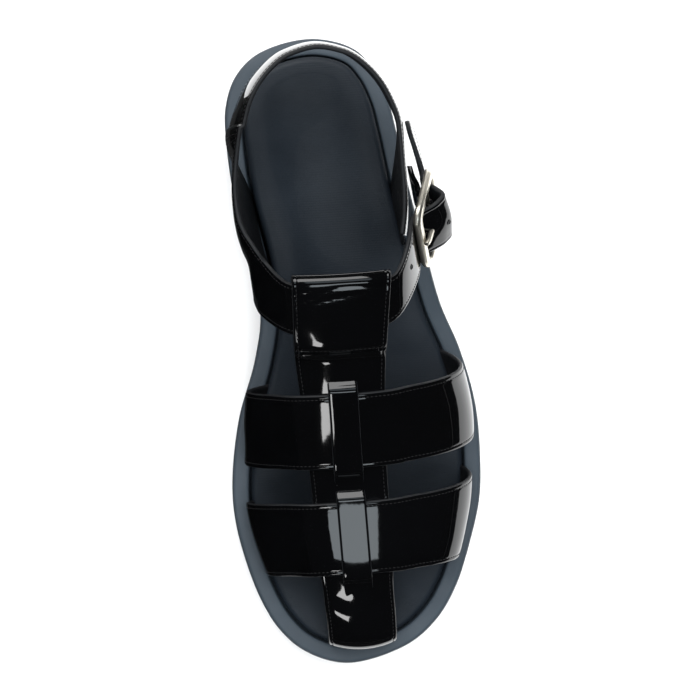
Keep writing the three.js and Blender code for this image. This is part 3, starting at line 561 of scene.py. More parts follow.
# how far the outside stands off its plain face: a groove under each stitch row, an edge that rolls in
def foldRelief(distance, sewn):
    off = (distance - edgeFold["stitchInset"]) / edgeFold["grooveWidth"]
    groove = edgeFold["stitchGroove"] * np.exp(-off ** 2) if sewn else 0
    return -groove - edgeFold["roll"] * np.exp(-(distance - wall / 2) / edgeFold["rollWidth"])


# run values with extra ones that round off both ends, and how full the wall is at each
def roundedRuns(runs, point, thickness):
    turns = np.linspace(0, math.pi / 2, edgeFold["tipSteps"] + 1)[-2::-1]
    full = np.ones_like(runs)
    middle = np.array([0.5])
    step = 1e-3
    for way in (1, -1):
        edge = runs[::way][:1]
        pace = np.linalg.norm(point(edge + step, middle) - point(edge - step, middle)) / (2 * step)
        depth = thickness / 2 / pace
        inside = way * (runs - edge) > depth
        extra = np.append(edge, edge + way * depth * (1 - np.sin(turns)))
        thin = np.append(edgeFold["tip"], np.cos(turns))
        runs = np.append(extra, runs[inside][::way])[::way]
        full = np.append(thin, full[inside][::way])[::way]
    return runs, full


def strapBody(name, point, runs, thickness=wall, sewn=True, relief=None, rounded=False):
    full = np.ones_like(runs)
    if rounded:
        runs, full = roundedRuns(runs, point, thickness)
    widths = widthAt(point, runs)
    zone = np.array(edgeFold["edgeZone"]) * thickness / wall
    squeeze = np.minimum(1, edgeFold["zoneShare"] * widths[:, None] / zone[-1])
    near = zone[None, :] * squeeze / widths[:, None]
    share = np.linspace(0, 1, edgeFold["middleSteps"] + 1)[None, 1:-1]
    inner = mix(near[:, -1:], 1 - near[:, -1:], share)
    across = np.concatenate([near, inner, 1 - near[:, ::-1]], axis=1)
    columns = across.shape[1]
    run = np.repeat(runs[:, None], columns, axis=1)
    middle = point(run, across)
    out, sideways = wallFrame(point, run, across)
    half = (thickness / 2 * full)[:, None]
    distance = np.minimum(across, 1 - across) * widths[:, None]
    height = half + foldRelief(distance, sewn) * full[:, None]
    if relief is not None:
        height = height + relief(middle) * full[:, None]
    outside = middle + out * height[..., None]
    inside = middle - out * half[..., None]
    turns = np.linspace(0, math.pi, edgeFold["arcSteps"] + 1)[1:-1]

    def edgeArc(column, way, angles):
        lift = np.where(angles < math.pi / 2, height[:, column, None], half)
        return (middle[:, column, None] + out[:, column, None] * (lift * np.cos(angles))[..., None]
                + way * sideways[:, column, None] * (half * np.sin(angles))[..., None])
    rings = np.concatenate([outside, edgeArc(-1, 1, turns), inside[:, ::-1],
                            edgeArc(0, -1, turns[::-1])], axis=1)
    count = rings.shape[1]
    faces = ringQuads(len(rings), count)
    arc = len(turns)
    onLining = [columns <= i < 2 * columns + 2 * arc - 1 for i in range(count)] * (len(rings) - 1)
    for base in (0, (len(rings) - 1) * count):
        far = base + 2 * columns + arc - 1
        faces += [(base + j, base + j + 1, far - 1 - j, far - j) for j in range(columns - 1)]
        faces.append([base + columns - 1 + k for k in range(arc + 2)])
        faces.append([far + k for k in range(arc + 1)] + [base])
    onLining += [False] * (len(faces) - len(onLining))
    return addPiece(name, rings.reshape(-1, 3), faces, [patent, lining], "patent",
                    faceMaterial=[int(flag) for flag in onLining], stands="upper")


# Cross straps

crossStraps = {
    "front": {"toe": {"inner": -91.5, "ridge": -90.5, "outer": -87.0},
              "heel": {"inner": -60.5, "ridge": -60.5, "outer": -51.0}},
    "middle": {"toe": {"inner": -44.0, "ridge": -46.5, "outer": -33.5},
               "heel": {"inner": -12.5, "ridge": -16.0, "outer": -2.0}},
}
tHalf = columnCurve(table("y half", (-122, 14.1), (-100, 14.4), (-85, 15.2), (-50, 15.7), (-20, 16.9),
                          (0, 18.2), (29, 19.5)), "half", "y")


def crossPoint(cross):
    tuck = straps["tuckShare"]

    def point(run, across):
        share = (run - tuck) / (1 - 2 * tuck)
        turn = mix(-1, 1, np.clip(share, 0, 1))

        def bend(edge):
            return mix(edge["ridge"], np.where(turn < 0, edge["inner"], edge["outer"]), turn * turn)
        y = mix(bend(cross["toe"]), bend(cross["heel"]), across)
        place = lastPoint(y, turn)
        beside = np.abs(place[..., 0] - ridgeAt(girthAt(y))[..., 0]) - tHalf(y) - straps["weaveGap"]
        lift = wall * mix(0.5, straps["weaveLift"], ease(1 - beside / straps["weaveSlope"]))
        place = place + lastNormal(y, np.clip(turn, -0.999, 0.999)) * lift[..., None]
        below = np.maximum(np.maximum(-share, share - 1), 0) * (1 - 2 * tuck)
        place[..., 2] -= below / tuck * straps["tuck"]
        return place
    return point


crossPoints = {name: crossPoint(cross) for name, cross in crossStraps.items()}
for name, point in crossPoints.items():
    strapBody(name + "_strap", point, np.linspace(0, 1, 161))
print("cross straps:", ", ".join(crossPoints))


# T-strap with its folded tab, and the narrow strips that pass over the cross straps

tab = {"stitch": -2, "fold": 27.5, "lift": 2.5, "foldRise": 1.6,
       "flatter": 2.4, "flatStart": -6, "flatEnd": 14}
# soft waves pressed in below the fold: place, turn in degrees, length, width, depth
tabWaves = table(
    "x y turn length width depth",
    (-8, 23.0, 10, 13, 0.85, 0.19), (11, 25.0, -2, 12, 0.85, 0.17), (-4, 20.4, 9, 18, 0.9, 0.17),
    (9, 5, -30, 8, 5, 0.12))
# flat spots pressed in at the toe: place, reach, and the slope they add across and along the foot
toeSpots = table("x y reach across along", (-3.6, -103.4, 4.6, -0.22, -0.1),
                 (13.9, -105.8, 4.6, 0.16, -0.1))


def tRelief(points):
    total = 0
    for row in tabWaves:
        turn = math.radians(row["turn"])
        dx, dy = points[..., 0] - row["x"], points[..., 1] - row["y"]
        along = dx * math.cos(turn) + dy * math.sin(turn)
        off = dy * math.cos(turn) - dx * math.sin(turn)
        total = total - row["depth"] * np.exp(-(along / row["length"]) ** 2 - (off / row["width"]) ** 2)
    for row in toeSpots:
        dx, dy = points[..., 0] - row["x"], points[..., 1] - row["y"]
        spot = np.exp(-(dx * dx + dy * dy) / row["reach"] ** 2)
        total = total + (row["across"] * dx + row["along"] * dy) * spot
    return total


# a place over the ridge: girth along it, offset to the side, lift off the last
def ridgeStrip(girth, offset, lift):
    small = 0.05
    place = ridgeAt(girth)
    tangent = ridgeAt(girth + small) - ridgeAt(girth - small)
    tangent[..., 0] = 0
    tangent = unit(tangent)
    out = np.stack([0 * girth, -tangent[..., 2], tangent[..., 1]], axis=-1)
    y = np.maximum(place[..., 1], straps["toeBendEnd"])
    topX, reach, dip, belt, rise = lastSide(y, offset >= 0)
    blend = ease((place[..., 1] - straps["toeBendEnd"]) / straps["bendBlend"])
    flat = ease((place[..., 1] - tab["flatStart"]) / (tab["flatEnd"] - tab["flatStart"]))
    bend = mix(straps["toeBend"], reach ** 2 / rise, blend) * mix(1, tab["flatter"], flat)
    tilt = np.clip(offset / (bend + lift), -0.95, 0.95)
    place[..., 0] += offset
    return place + out * ((bend + lift) * np.sqrt(1 - tilt * tilt) - bend)[..., None]


def tStrapRows():
    over, under = tab["lift"] * wall, 0.5 * wall
    fold, stitch = girthAt(tab["fold"]), girthAt(tab["stitch"])
    rows = [(-straps["tuck"], under), (-straps["tuck"] / 2, under)]
    rows += [(girth, under) for girth in np.arange(0, stitch - 4, 6)]
    rows += [(stitch - 2, under), (stitch + 2, mix(under, over, 0.35)), (stitch + 6, over)]
    slope = tab["foldRise"] / (fold - stitch - 6)
    rows += [(girth, over + slope * (girth - stitch - 6)) for girth in np.arange(stitch + 11, fold - 2, 5)]
    over = over + tab["foldRise"]
    middle, radius = (over + under) / 2, (over - under) / 2
    rows += [(fold + radius * math.sin(turn), middle + radius * math.cos(turn))
             for turn in np.linspace(0, math.pi, 7)]
    rows += [(girth, under) for girth in np.arange(fold - 5, stitch, -5)]
    return table("girth lift", *rows)


tRows = tStrapRows()
tGirth = columnCurve(tRows, "girth")
tLift = columnCurve(tRows, "lift")


def tPoint(run, across):
    row = run * (len(tRows) - 1)
    half = tHalf(ridgeAt(tGirth(row))[..., 1])
    return ridgeStrip(tGirth(row), mix(half, -half, across), tLift(row))


strapBody("t_strap", tPoint, np.linspace(0, 1, 6 * len(tRows)), relief=tRelief)


def loopPoint(cross):
    toe, heel = cross["toe"]["ridge"], cross["heel"]["ridge"]
    rows = table("y lift", (toe - 9, 0.45), (toe - 4, 0.9), (toe, 1.85), (toe + 4, 1.95),
                 (heel - 3, 1.95), (heel + 1, 1.95), (heel + 3, 1.3), (heel + 4.5, 0.45))
    yOf, liftOf = columnCurve(rows, "y"), columnCurve(rows, "lift")

    def point(run, across):
        row = run * (len(rows) - 1)
        offset = mix(straps["loopWidth"] / 2, -straps["loopWidth"] / 2, across)
        return ridgeStrip(girthAt(yOf(row)), offset, liftOf(row) * wall)
    return point


for name, cross in crossStraps.items():
    strapBody(name + "_loop", loopPoint(cross), np.linspace(0, 1, 90),
              thickness=straps["loopWall"], sewn=False)
print("T-strap and loops")


# Buckle

buckle = {"corner": (35.9, 51.4, 87.5), "along": (8.0, 21.3, -19.5), "down": (5.1, -20.4, -22),
          "length": 31, "width": 31.5, "bar": 2.8, "thick": 2.2, "fuller": 1.4, "corners": 5, "bow": 1.4,
          "pivot": 1.1, "prongWidth": 2.4, "prongThick": 1.8, "prongEye": 1.3, "strapWidth": 23,
          "chapeWidth": 17, "chapeWall": 1.2, "chapeSeat": (36, 75, 56), "tailEnd": (37, 91, 56),
          "tailDown": (0.25, -0.25, -1), "tailDrop": 0.6, "arch": 2.4}
buckleAlong = unit(np.array(buckle["along"]))
buckleOut = unit(np.cross(unit(np.array(buckle["down"])), buckleAlong))
buckleAcross = unit(np.cross(buckleAlong, buckleOut))
pivotLength = buckle["length"] / 2
underBar = -(buckle["thick"] + wall) / 2 - gap - buckle["bow"]
overPivot = buckle["pivot"] + gap + buckle["chapeWall"] + wall / 2 + buckle["arch"]


# length from the front bar, width from the middle, height off the buckle's plane
def bucklePlace(length, width, height):
    middle = np.array(buckle["corner"]) + buckleAcross * buckle["width"] / 2
    steps = [np.multiply.outer(np.asarray(v, float), axis)
             for v, axis in ((length, buckleAlong), (width, buckleAcross), (height, buckleOut))]
    return middle + steps[0] + steps[1] + steps[2]


def rodRings(start, end, radius, sides, steps=1):
    run = unit(end - start)
    one = unit(np.cross(run, buckleOut))
    two = np.cross(run, one)
    turns = np.linspace(0, 2 * math.pi, sides, endpoint=False)[:, None]
    circle = radius * (one * np.cos(turns) + two * np.sin(turns))
    return [mix(start, end, k / steps) + circle for k in range(steps + 1)]


def capped(rings):
    count = len(rings[0])
    last = (len(rings) - 1) * count
    faces = ringQuads(len(rings), count)
    faces += [tuple(range(count)), tuple(range(last, last + count))]
    return np.vstack(rings), faces


def joined(*bodies):
    points, faces, first = [], [], 0
    for bodyPoints, bodyFaces in bodies:
        points.append(bodyPoints)
        faces += [tuple(first + i for i in face) for face in bodyFaces]
        first += len(bodyPoints)
    return np.vstack(points), faces


# puts what the modifiers make in place of the mesh
def settleMesh(piece):
    made = bpy.data.meshes.new_from_object(piece.evaluated_get(bpy.context.evaluated_depsgraph_get()))
    piece.modifiers.clear()
    piece.data = made


def finishEdges(piece, width, segments=2, angle=35):
    bevel = piece.modifiers.new("softEdges", "BEVEL")
    bevel.width = width / 1000
    bevel.segments = segments
    bevel.limit_method = "ANGLE"
    bevel.angle_limit = math.radians(angle)
    bevel.harden_normals = False
    settleMesh(piece)


def frameBody():
    corner = buckle["bar"] / 2 + buckle["corners"]
    length, width = buckle["length"] - corner, buckle["width"] / 2 - corner
    corners = ((corner, -width, -2), (length, -width, -1), (length, width, 0), (corner, width, 1))
    path = []
    for at, off, start in corners:
        path += [(at, off, (start + step / 12) * math.pi / 2) for step in range(13)]
    section = ((1, 0.35), (0.62, 0.95), (-0.62, 0.95), (-1, 0.35),
               (-1, -0.4), (-0.6, -1), (0.6, -1), (1, -0.4))
    sides, lifts = np.array(section).T
    rings = []
    for at, off, turn in path:
        radius = buckle["corners"] + sides * buckle["bar"] * buckle["fuller"] / 2
        place = at + radius * math.cos(turn)
        bow = -buckle["bow"] * (2 * place / buckle["length"] - 1) ** 2
        lift = lifts * buckle["thick"] * buckle["fuller"] / 2
        rings.append(bucklePlace(place, off + radius * math.sin(turn), bow + lift))
    return np.vstack(rings), ringQuads(len(rings), len(section), closed=True)


reach = buckle["width"] / 2 - buckle["bar"] / 2
pivotRod = capped(rodRings(bucklePlace(pivotLength, -reach, 0), bucklePlace(pivotLength, reach, 0),
                           buckle["pivot"], 24, 8))
buckleFrame = addPiece("buckle_bar", *joined(frameBody(), pivotRod), [buckleMetal], "metal",
                       stands="buckle_frame")
finishEdges(buckleFrame, 0.18)


def prongBody():
    rows = table("length height width", (pivotLength, 1.7, 1), (pivotLength - 3.5, 2.2, 1),
                 (pivotLength - 8, 1.9, 0.95), (buckle["bar"], 1.6, 0.9), (0.2, 1.0, 0.75))
    curves = {name: columnCurve(rows, name) for name in ("length", "height", "width")}
    rings = []
    for row in np.linspace(0, len(rows) - 1, 33):
        turns = np.linspace(0, 2 * math.pi, 16, endpoint=False)
        wide = buckle["prongWidth"] * curves["width"](row) / 2
        across = wide * np.sign(np.cos(turns)) * np.abs(np.cos(turns)) ** 0.5
        lift = buckle["prongThick"] / 2 * np.sign(np.sin(turns)) * np.abs(np.sin(turns)) ** 0.5
        rings.append(bucklePlace(curves["length"](row), across, curves["height"](row) + lift))
    return capped(rings)


def eyeBody():
    inner, outer = buckle["pivot"] + gap, buckle["pivot"] + gap + buckle["prongEye"]
    ends = [bucklePlace(pivotLength, side * buckle["prongWidth"] / 2, 0) for side in (-1, 1)]
    loops = rodRings(*ends, outer, 28) + rodRings(*ends, inner, 28)[::-1]
    return np.vstack(loops), ringQuads(4, 28, closed=True)


prong = addPiece("buckle_tongue", *joined(prongBody(), eyeBody()), [buckleMetal], "metal",
                 stands="buckle_prong")
finishEdges(prong, 0.15)


def chapeBody():
    eye = buckle["pivot"] + gap
    foldRadius = eye + buckle["chapeWall"]
    seat = np.array(buckle["chapeSeat"]) - bucklePlace(pivotLength, 0, 0)
    seatRun, seatRise = seat @ buckleAlong, seat @ buckleOut
    rearRun = pivotLength - buckle["bar"] - 1.4
    rearRise = underBar - wall / 2 - buckle["chapeWall"] - 2 * gap
    rows = table("run rise half", (-foldRadius, 0, 0.3), (-foldRadius * 0.7, 0, foldRadius * 0.7),
                 (0, -0.1, foldRadius), (2.4, -0.9, foldRadius * 0.85),
                 (rearRun * 0.55, -4.6, buckle["chapeWall"] * 1.1), (rearRun, rearRise, buckle["chapeWall"]),
                 (mix(rearRun, seatRun, 0.5), mix(rearRise, seatRise, 0.6), buckle["chapeWall"]),
                 (seatRun, seatRise, buckle["chapeWall"] * 0.9))
    curves = {name: columnCurve(rows, name) for name in ("run", "rise", "half")}
    at = np.linspace(0, len(rows) - 1, 60)
    run, rise, half = (curves[name](at) for name in ("run", "rise", "half"))
    run = np.concatenate([run, run[::-1]])
    rise = np.concatenate([rise + half, (rise - half)[::-1]])
    cut = buckle["prongWidth"] / 2 + gap
    sides = [-buckle["chapeWidth"] / 2, buckle["chapeWidth"] / 2]
    bodies = []
    # the slot that the tongue turns in parts the fold in two, behind it the leather is whole
    whole = [i for i in range(len(run)) if run[i] > foldRadius + 1.5]
    fold = [i for i in range(len(run)) if run[i] <= foldRadius + 2.2]
    for chosen, low, high in ((whole, *sides), (fold, sides[0], -cut), (fold, cut, sides[1])):
        widths = np.linspace(low, high, 9)
        bodies.append(capped([bucklePlace(pivotLength + run[chosen], width, rise[chosen])
                              for width in widths]))
    return joined(*bodies)


chape = addPiece("buckle_keeper", *chapeBody(), [patent], "patent", stands="buckle_chape")
finishEdges(chape, 0.25)
print("buckle")


# Ankle band: outer leg, heel, inner leg, over the instep, through the buckle to its free end

outerLegRows = table("topX topY topZ lowY belly", (29.4, 44.5, 81.5, 42, 1.0), (31.0, 55.0, 81.0, 51, 1.5),
                     (31.4, 65.0, 81.0, 61, 2.0))
heelTop = {"x": -0.3, "y": 80, "across": 31.5, "back": 40.2, "sideZ": 81.5, "backZ": 86}
heelLow = {"x": -1.4, "y": 80, "across": 35.2, "back": 45.0, "sideZ": 50, "backZ": 56}
innerLegRows = table("topX topY topZ lowY belly", (-33.6, 75.0, 81.0, 66, 2.4), (-34.4, 66.0, 81.0, 54, 3.0),
                     (-34.0, 57.0, 81.8, 42, 3.6), (-32.2, 49.0, 83.4, 31, 4.2))
innerEdgeRows = table("topX topY topZ lowX lowY lowZ belly", (-30.2, 44.5, 84.6, -25.0, 26.0, 38, 3.0),
                      (-27.8, 40.5, 85.2, -29.6, 22.0, 55, 1.5))
instepRows = table("topX topY lowX lowY rise", (-25.3, 37.0, -28.6, 17.5, 0.6),
                   (-15.8, 27.5, -16.7, 7.6, 3.0), (3.6, 25.5, 3.0, 4.5, 0.0), (23.6, 28.5, 23.2, 10.5, 3.4))
ankle = {"heelSteps": 8, "heelBelly": 1, "heelStart": 0.06, "bandLift": 1.6, "bellyAt": 0.6,
         "lapBack": 1.3, "lap": 1.2, "lapStep": 0.12, "lapSinks": 3, "lapOver": 2.5}


def bandRow(top, low, belly=0.0):
    return dict(zip("topX topY topZ lowX lowY lowZ belly".split(), [*top, *low, belly]))


def legRow(row, outer):
    y = row["lowY"]
    low = (float(ringX(strapFoot, y, outer)), y, float(rimHeight(y)) - straps["tuck"])
    return bandRow((row["topX"], row["topY"], row["topZ"]), low, row["belly"])


def heelRow(turn):
    def place(arch):
        return (arch["x"] + arch["across"] * math.cos(turn), arch["y"] + arch["back"] * math.sin(turn),
                mix(arch["sideZ"], arch["backZ"], math.sin(turn)))
    return bandRow(place(heelTop), place(heelLow), ankle["heelBelly"])


def instepRow(row):
    lift = ankle["bandLift"] * wall + row["rise"]
    edges = [(row[x], row[y], float(lastHeight(row[x], row[y])) + lift)
             for x, y in (("topX", "topY"), ("lowX", "lowY"))]
    return bandRow(*edges)


def buckleRow(length, height):
    half = buckle["strapWidth"] / 2
    return bandRow(bucklePlace(length, -half, height), bucklePlace(length, half, height))


def tailRow(share, width):
    leave = bucklePlace(buckle["length"], 0, underBar - buckle["tailDrop"])
    middle = mix(leave, np.array(buckle["tailEnd"]), share)
    across = unit(mix(buckleAcross, unit(np.array(buckle["tailDown"])), share))
    half = buckle["strapWidth"] / 2 * width
    return bandRow(middle - across * half, middle + across * half)


heelTurns = [mix(ankle["heelStart"], 1 - ankle["heelStart"], i / ankle["heelSteps"]) * math.pi
             for i in range(ankle["heelSteps"] + 1)]
bandRows = [legRow(row, True) for row in outerLegRows] + [heelRow(turn) for turn in heelTurns]
lapRow = len(bandRows) - ankle["lapBack"]
bandRows += [legRow(row, False) for row in innerLegRows]
bandRows += innerEdgeRows
bandRows += [instepRow(row) for row in instepRows]
bandRows += [buckleRow(-6, underBar + 0.6), buckleRow(0, underBar), buckleRow(buckle["bar"] + 1, underBar),
             buckleRow(pivotLength - 2.5, mix(underBar, overPivot, 0.85)),
             buckleRow(pivotLength + 2.5, overPivot),
             buckleRow(buckle["length"] - buckle["bar"] - 1.4, underBar),
             buckleRow(buckle["length"], underBar - buckle["tailDrop"])]
bandRows += [tailRow(*row) for row in ((0.35, 1), (0.75, 1), (0.93, 0.72), (1, 0.3))]
bandCurves = {name: columnCurve(bandRows, name) for name in bandRows[0]}
lastBandRow = len(bandRows) - 1


def bandFlat(row, across):
    low = np.stack([bandCurves[name](row) for name in ("lowX", "lowY", "lowZ")], axis=-1)
    top = np.stack([bandCurves[name](row) for name in ("topX", "topY", "topZ")], axis=-1)
    return mix(low, top, np.asarray(across, float)[..., None])


def bellyShape(across):
    return np.maximum(0, across) ** 1.5 * (1 - across)


def bandPoint(run, across):
    row = run * lastBandRow
    onward = bandFlat(row + 0.01, across) - bandFlat(row - 0.01, across)
    upward = bandFlat(row, np.ones_like(row)) - bandFlat(row, np.zeros_like(row))
    out = unit(np.cross(onward, upward))
    swell = bandCurves["belly"](row) * bellyShape(across) / bellyShape(ankle["bellyAt"])
    past = row - lapRow
    lap = ease(past / ankle["lapStep"]) - ease((past - ankle["lapSinks"]) / ankle["lapOver"])
    return bandFlat(row, across) + out * (swell + ankle["lap"] * lap)[..., None]


bandRuns = np.unique(np.concatenate([np.linspace(0, lastBandRow, 8 * lastBandRow + 1),
                                     np.linspace(lapRow - 0.1, lapRow + 0.3, 17)])) / lastBandRow
bulge = {"middle": (47.0, 49.0, 69.0), "spread": 8.0, "height": 1.6}


def bandBulge(points):
    off = np.linalg.norm(points - np.array(bulge["middle"]), axis=-1)
    return bulge["height"] * np.exp(-(off / bulge["spread"]) ** 2)


ankleBand = strapBody("ankle_band", bandPoint, bandRuns, relief=bandBulge, rounded=True)
print("ankle band:", len(ankleBand.data.polygons), "faces")


# Stitches: a thread on every step of a path, made by Geometry Nodes

stitches = {"pitch": 1.7, "length": 1.25, "thread": 0.45, "sink": 0.12}


def geometryTree(name, inputs):
    tree = bpy.data.node_groups.new(name, "GeometryNodeTree")
    tree.interface.new_socket("Geometry", in_out="INPUT", socket_type="NodeSocketGeometry")
    for label, kind in inputs.items():
        tree.interface.new_socket(label, in_out="INPUT", socket_type=kind)
    tree.interface.new_socket("Geometry", in_out="OUTPUT", socket_type="NodeSocketGeometry")
    return tree, tree.nodes.new("NodeGroupInput").outputs, tree.nodes.new("NodeGroupOutput").inputs


def makeStitchTree():
    floats = dict.fromkeys(("Pitch", "Length", "Thread"), "NodeSocketFloat")
    tree, given, out = geometryTree("stitchRows", {**floats, "Material": "NodeSocketMaterial"})
    path = addNode(tree, "GeometryNodeMeshToCurve", {"Mesh": given["Geometry"]}).outputs["Curve"]
    steps = addNode(tree, "GeometryNodeResampleCurve", {"Curve": path, "Length": given["Pitch"]},
                    mode="LENGTH")
    bead = addNode(tree, "GeometryNodeMeshUVSphere", {"Segments": 6, "Rings": 5, "Radius": 0.5})
    tangent = addNode(tree, "GeometryNodeInputTangent").outputs["Tangent"]
    turn = addNode(tree, "FunctionNodeAlignRotationToVector", {"Vector": tangent}, axis="Z")
    size = addNode(tree, "ShaderNodeCombineXYZ", {"X": given["Thread"], "Y": given["Thread"],
                   "Z": given["Length"]}).outputs["Vector"]
    placed = addNode(tree, "GeometryNodeInstanceOnPoints",
                     {"Points": steps.outputs["Curve"], "Instance": bead.outputs["Mesh"],
                      "Rotation": turn.outputs["Rotation"], "Scale": size}).outputs["Instances"]
    real = addNode(tree, "GeometryNodeRealizeInstances", {"Geometry": placed}).outputs["Geometry"]
    smooth = addNode(tree, "GeometryNodeSetShadeSmooth", {"Geometry": real}).outputs["Geometry"]
    final = addNode(tree, "GeometryNodeSetMaterial", {"Geometry": smooth, "Material": given["Material"]})
    tree.links.new(final.outputs["Geometry"], out["Geometry"])
    return tree


def runTree(piece, tree, **inputs):
    modifier = piece.modifiers.new("nodes", "NODES")
    modifier.node_group = tree
    for item in tree.interface.items_tree:
        if item.in_out == "INPUT" and item.name in inputs:
            modifier[item.identifier] = inputs[item.name]
    settleMesh(piece)


# a row on the outside of a strap, given by run and across values
def sewnPath(point, run, across, relief=None):
    middle = point(run, across)
    height = wall / 2 - stitches["sink"] + (relief(middle) if relief else 0)
    return middle + wallFrame(point, run, across)[0] * np.asarray(height)[..., None]


def edgeRow(point, start, end, inset, fromTop, relief=None, count=200):
    run = np.linspace(start, end, count)
    across = inset / widthAt(point, run)
    return sewnPath(point, run, 1 - across if fromTop else across, relief=relief)


def addStitches(name, paths):
    points, edges, first = [], [], 0
    for path in paths:
        points.append(path)
        edges += [(first + i, first + i + 1) for i in range(len(path) - 1)]
        first += len(path)
    mesh = bpy.data.meshes.new(name)
    mesh.from_pydata(toFrame(np.vstack(points)).tolist(), edges, [])
    piece = linked(name, mesh)
    runTree(piece, stitchTree, Pitch=stitches["pitch"] / 1000, Length=stitches["length"] / 1000,
            Thread=stitches["thread"] / 1000, Material=thread)
    return settle(piece)


stitchTree = makeStitchTree()
inset = edgeFold["stitchInset"]
tuckShare = straps["tuckShare"]
crossPaths = [edgeRow(point, tuckShare, 1 - tuckShare, inset, fromTop)
              for point in crossPoints.values() for fromTop in (False, True)]
crossStitches = addStitches("cross_strap_stitches", crossPaths)
tRowAt = {name: next(i for i, row in enumerate(tRows) if row["girth"] >= girthAt(tab[name]) - 3)
          for name in ("stitch", "fold")}
tPaths = [edgeRow(tPoint, 2 / (len(tRows) - 1), tRowAt["fold"] / (len(tRows) - 1), inset, fromTop, tRelief)
          for fromTop in (False, True)]
tabRun = np.full(60, (tRowAt["stitch"] + 1.7) / (len(tRows) - 1))
tPaths.append(sewnPath(tPoint, tabRun, np.linspace(0.06, 0.94, 60)))
tStitches = addStitches("t_strap_stitches", tPaths)
bandPaths = [edgeRow(bandPoint, 0.3 / lastBandRow, 1 - 0.6 / lastBandRow, inset, fromTop, count=700)
             for fromTop in (False, True)]
for step in (0.28, 0.42):
    across = np.linspace(0.08, 0.94, 40)
    bandPaths.append(sewnPath(bandPoint, np.full_like(across, (lapRow + step) / lastBandRow), across))
bandStitches = addStitches("ankle_band_stitches", bandPaths)
stitchRows = (crossStitches, tStitches, bandStitches)
print("stitches:", sum(len(piece.data.polygons) for piece in stitchRows), "faces")


# Punched holes: a dark eye with a soft rim at each place, made by Geometry Nodes

holes = {"places": ((31.8, 31.1, 86.2), (48.5, 49.7, 68.4)), "radius": 0.95, "rim": 0.22, "proud": 0.06}


def makeHoleTree():
    floats = dict.fromkeys(("Radius", "Rim"), "NodeSocketFloat")
    materials = dict.fromkeys(("Eye", "Edge"), "NodeSocketMaterial")
    tree, given, out = geometryTree("punchedHoles", {**floats, **materials})
    away = addNode(tree, "GeometryNodeInputNamedAttribute", {"Name": "away"}, data_type="FLOAT_VECTOR")
    turn = addNode(tree, "FunctionNodeAlignRotationToVector", {"Vector": away.outputs["Attribute"]},
                   axis="Z")
    circle = addNode(tree, "GeometryNodeCurvePrimitiveCircle", {"Resolution": 32, "Radius": given["Radius"]})
    section = addNode(tree, "GeometryNodeCurvePrimitiveCircle", {"Resolution": 8, "Radius": given["Rim"]})
    rim = addNode(tree, "GeometryNodeCurveToMesh", {"Curve": circle.outputs["Curve"],
                  "Profile Curve": section.outputs["Curve"]}).outputs["Mesh"]
    rim = addNode(tree, "GeometryNodeSetMaterial", {"Geometry": rim, "Material": given["Edge"]})
    eye = addNode(tree, "GeometryNodeMeshCircle", {"Vertices": 32, "Radius": given["Radius"]},
                  fill_type="NGON").outputs["Mesh"]
    eye = addNode(tree, "GeometryNodeSetMaterial", {"Geometry": eye, "Material": given["Eye"]})
    both = addNode(tree, "GeometryNodeJoinGeometry")
    for part in (rim, eye):
        tree.links.new(part.outputs["Geometry"], both.inputs["Geometry"])
    placed = addNode(tree, "GeometryNodeInstanceOnPoints", {"Points": given["Geometry"],
                     "Instance": both.outputs["Geometry"], "Rotation": turn.outputs["Rotation"]})
    real = addNode(tree, "GeometryNodeRealizeInstances", {"Geometry": placed.outputs["Instances"]})
    tree.links.new(real.outputs["Geometry"], out["Geometry"])
    return tree


# the nearest place on the band's outside, and the way it faces
def onBand(place):
    run, across = np.meshgrid(bandRuns, np.linspace(0.1, 0.9, 81), indexing="ij")
    middle = bandPoint(run, across)
    out = wallFrame(bandPoint, run, across)[0]
    outside = middle + out * (wall / 2 + bandBulge(middle))[..., None]
    nearest = np.unravel_index(np.argmin(np.linalg.norm(outside - np.array(place), axis=-1)), run.shape)
    return outside[nearest] + out[nearest] * holes["proud"], out[nearest]


def addHoles():
    spots = [onBand(place) for place in holes["places"]]
    mesh = bpy.data.meshes.new("strap_holes")
    mesh.from_pydata(toFrame([place for place, away in spots]).tolist(), [], [])
    facing = mesh.attributes.new("away", "FLOAT_VECTOR", "POINT")
    facing.data.foreach_set("vector", np.ravel([away for place, away in spots]))
    piece = linked("strap_holes", mesh)
    runTree(piece, makeHoleTree(), Radius=holes["radius"] / 1000, Rim=holes["rim"] / 1000,
            Eye=lining, Edge=patent)
    return settle(piece)


strapHoles = addHoles()
print("strap holes:", len(strapHoles.data.polygons), "faces")


# Stage: pale floor, soft panels, camera

def addFloor():
    stage = {"half": 9.0, "dark": (0.86, 0.86, 0.86), "light": (0.88, 0.88, 0.88),
             "cloud": 3.0, "rough": 0.8}
    mesh = bpy.data.meshes.new("floor")
    half = stage["half"]
    corners = [(-half, -half, 0), (half, -half, 0), (half, half, 0), (-half, half, 0)]
    mesh.from_pydata(corners, [], [(0, 1, 2, 3)])
    floor = linked("floor", mesh)
    material, tree, shader = newMaterial("paleFloor")
    cloud = placeGroup(tree, handling, Scale=stage["cloud"], Low=0.0, High=1.0)["Value"]
    tree.links.new(shadeBetween(tree, cloud, stage["dark"], stage["light"]), shader["Base Color"])
    shader["Roughness"].default_value = stage["rough"]
    mesh.materials.append(material)


# soft light that faces the shoe
def addPanel(name, place, size, power, mirrored, colour):
    light = bpy.data.lights.new(name, "AREA")
    light.color = colour
    light.shape = "RECTANGLE"
    light.size, light.size_y = size
    light.energy = power
    panel = linked(name, light)
    panel.location = place
    panel.rotation_euler = (-Vector(place)).to_track_quat("-Z", "Y").to_euler()
    panel.visible_glossy = mirrored


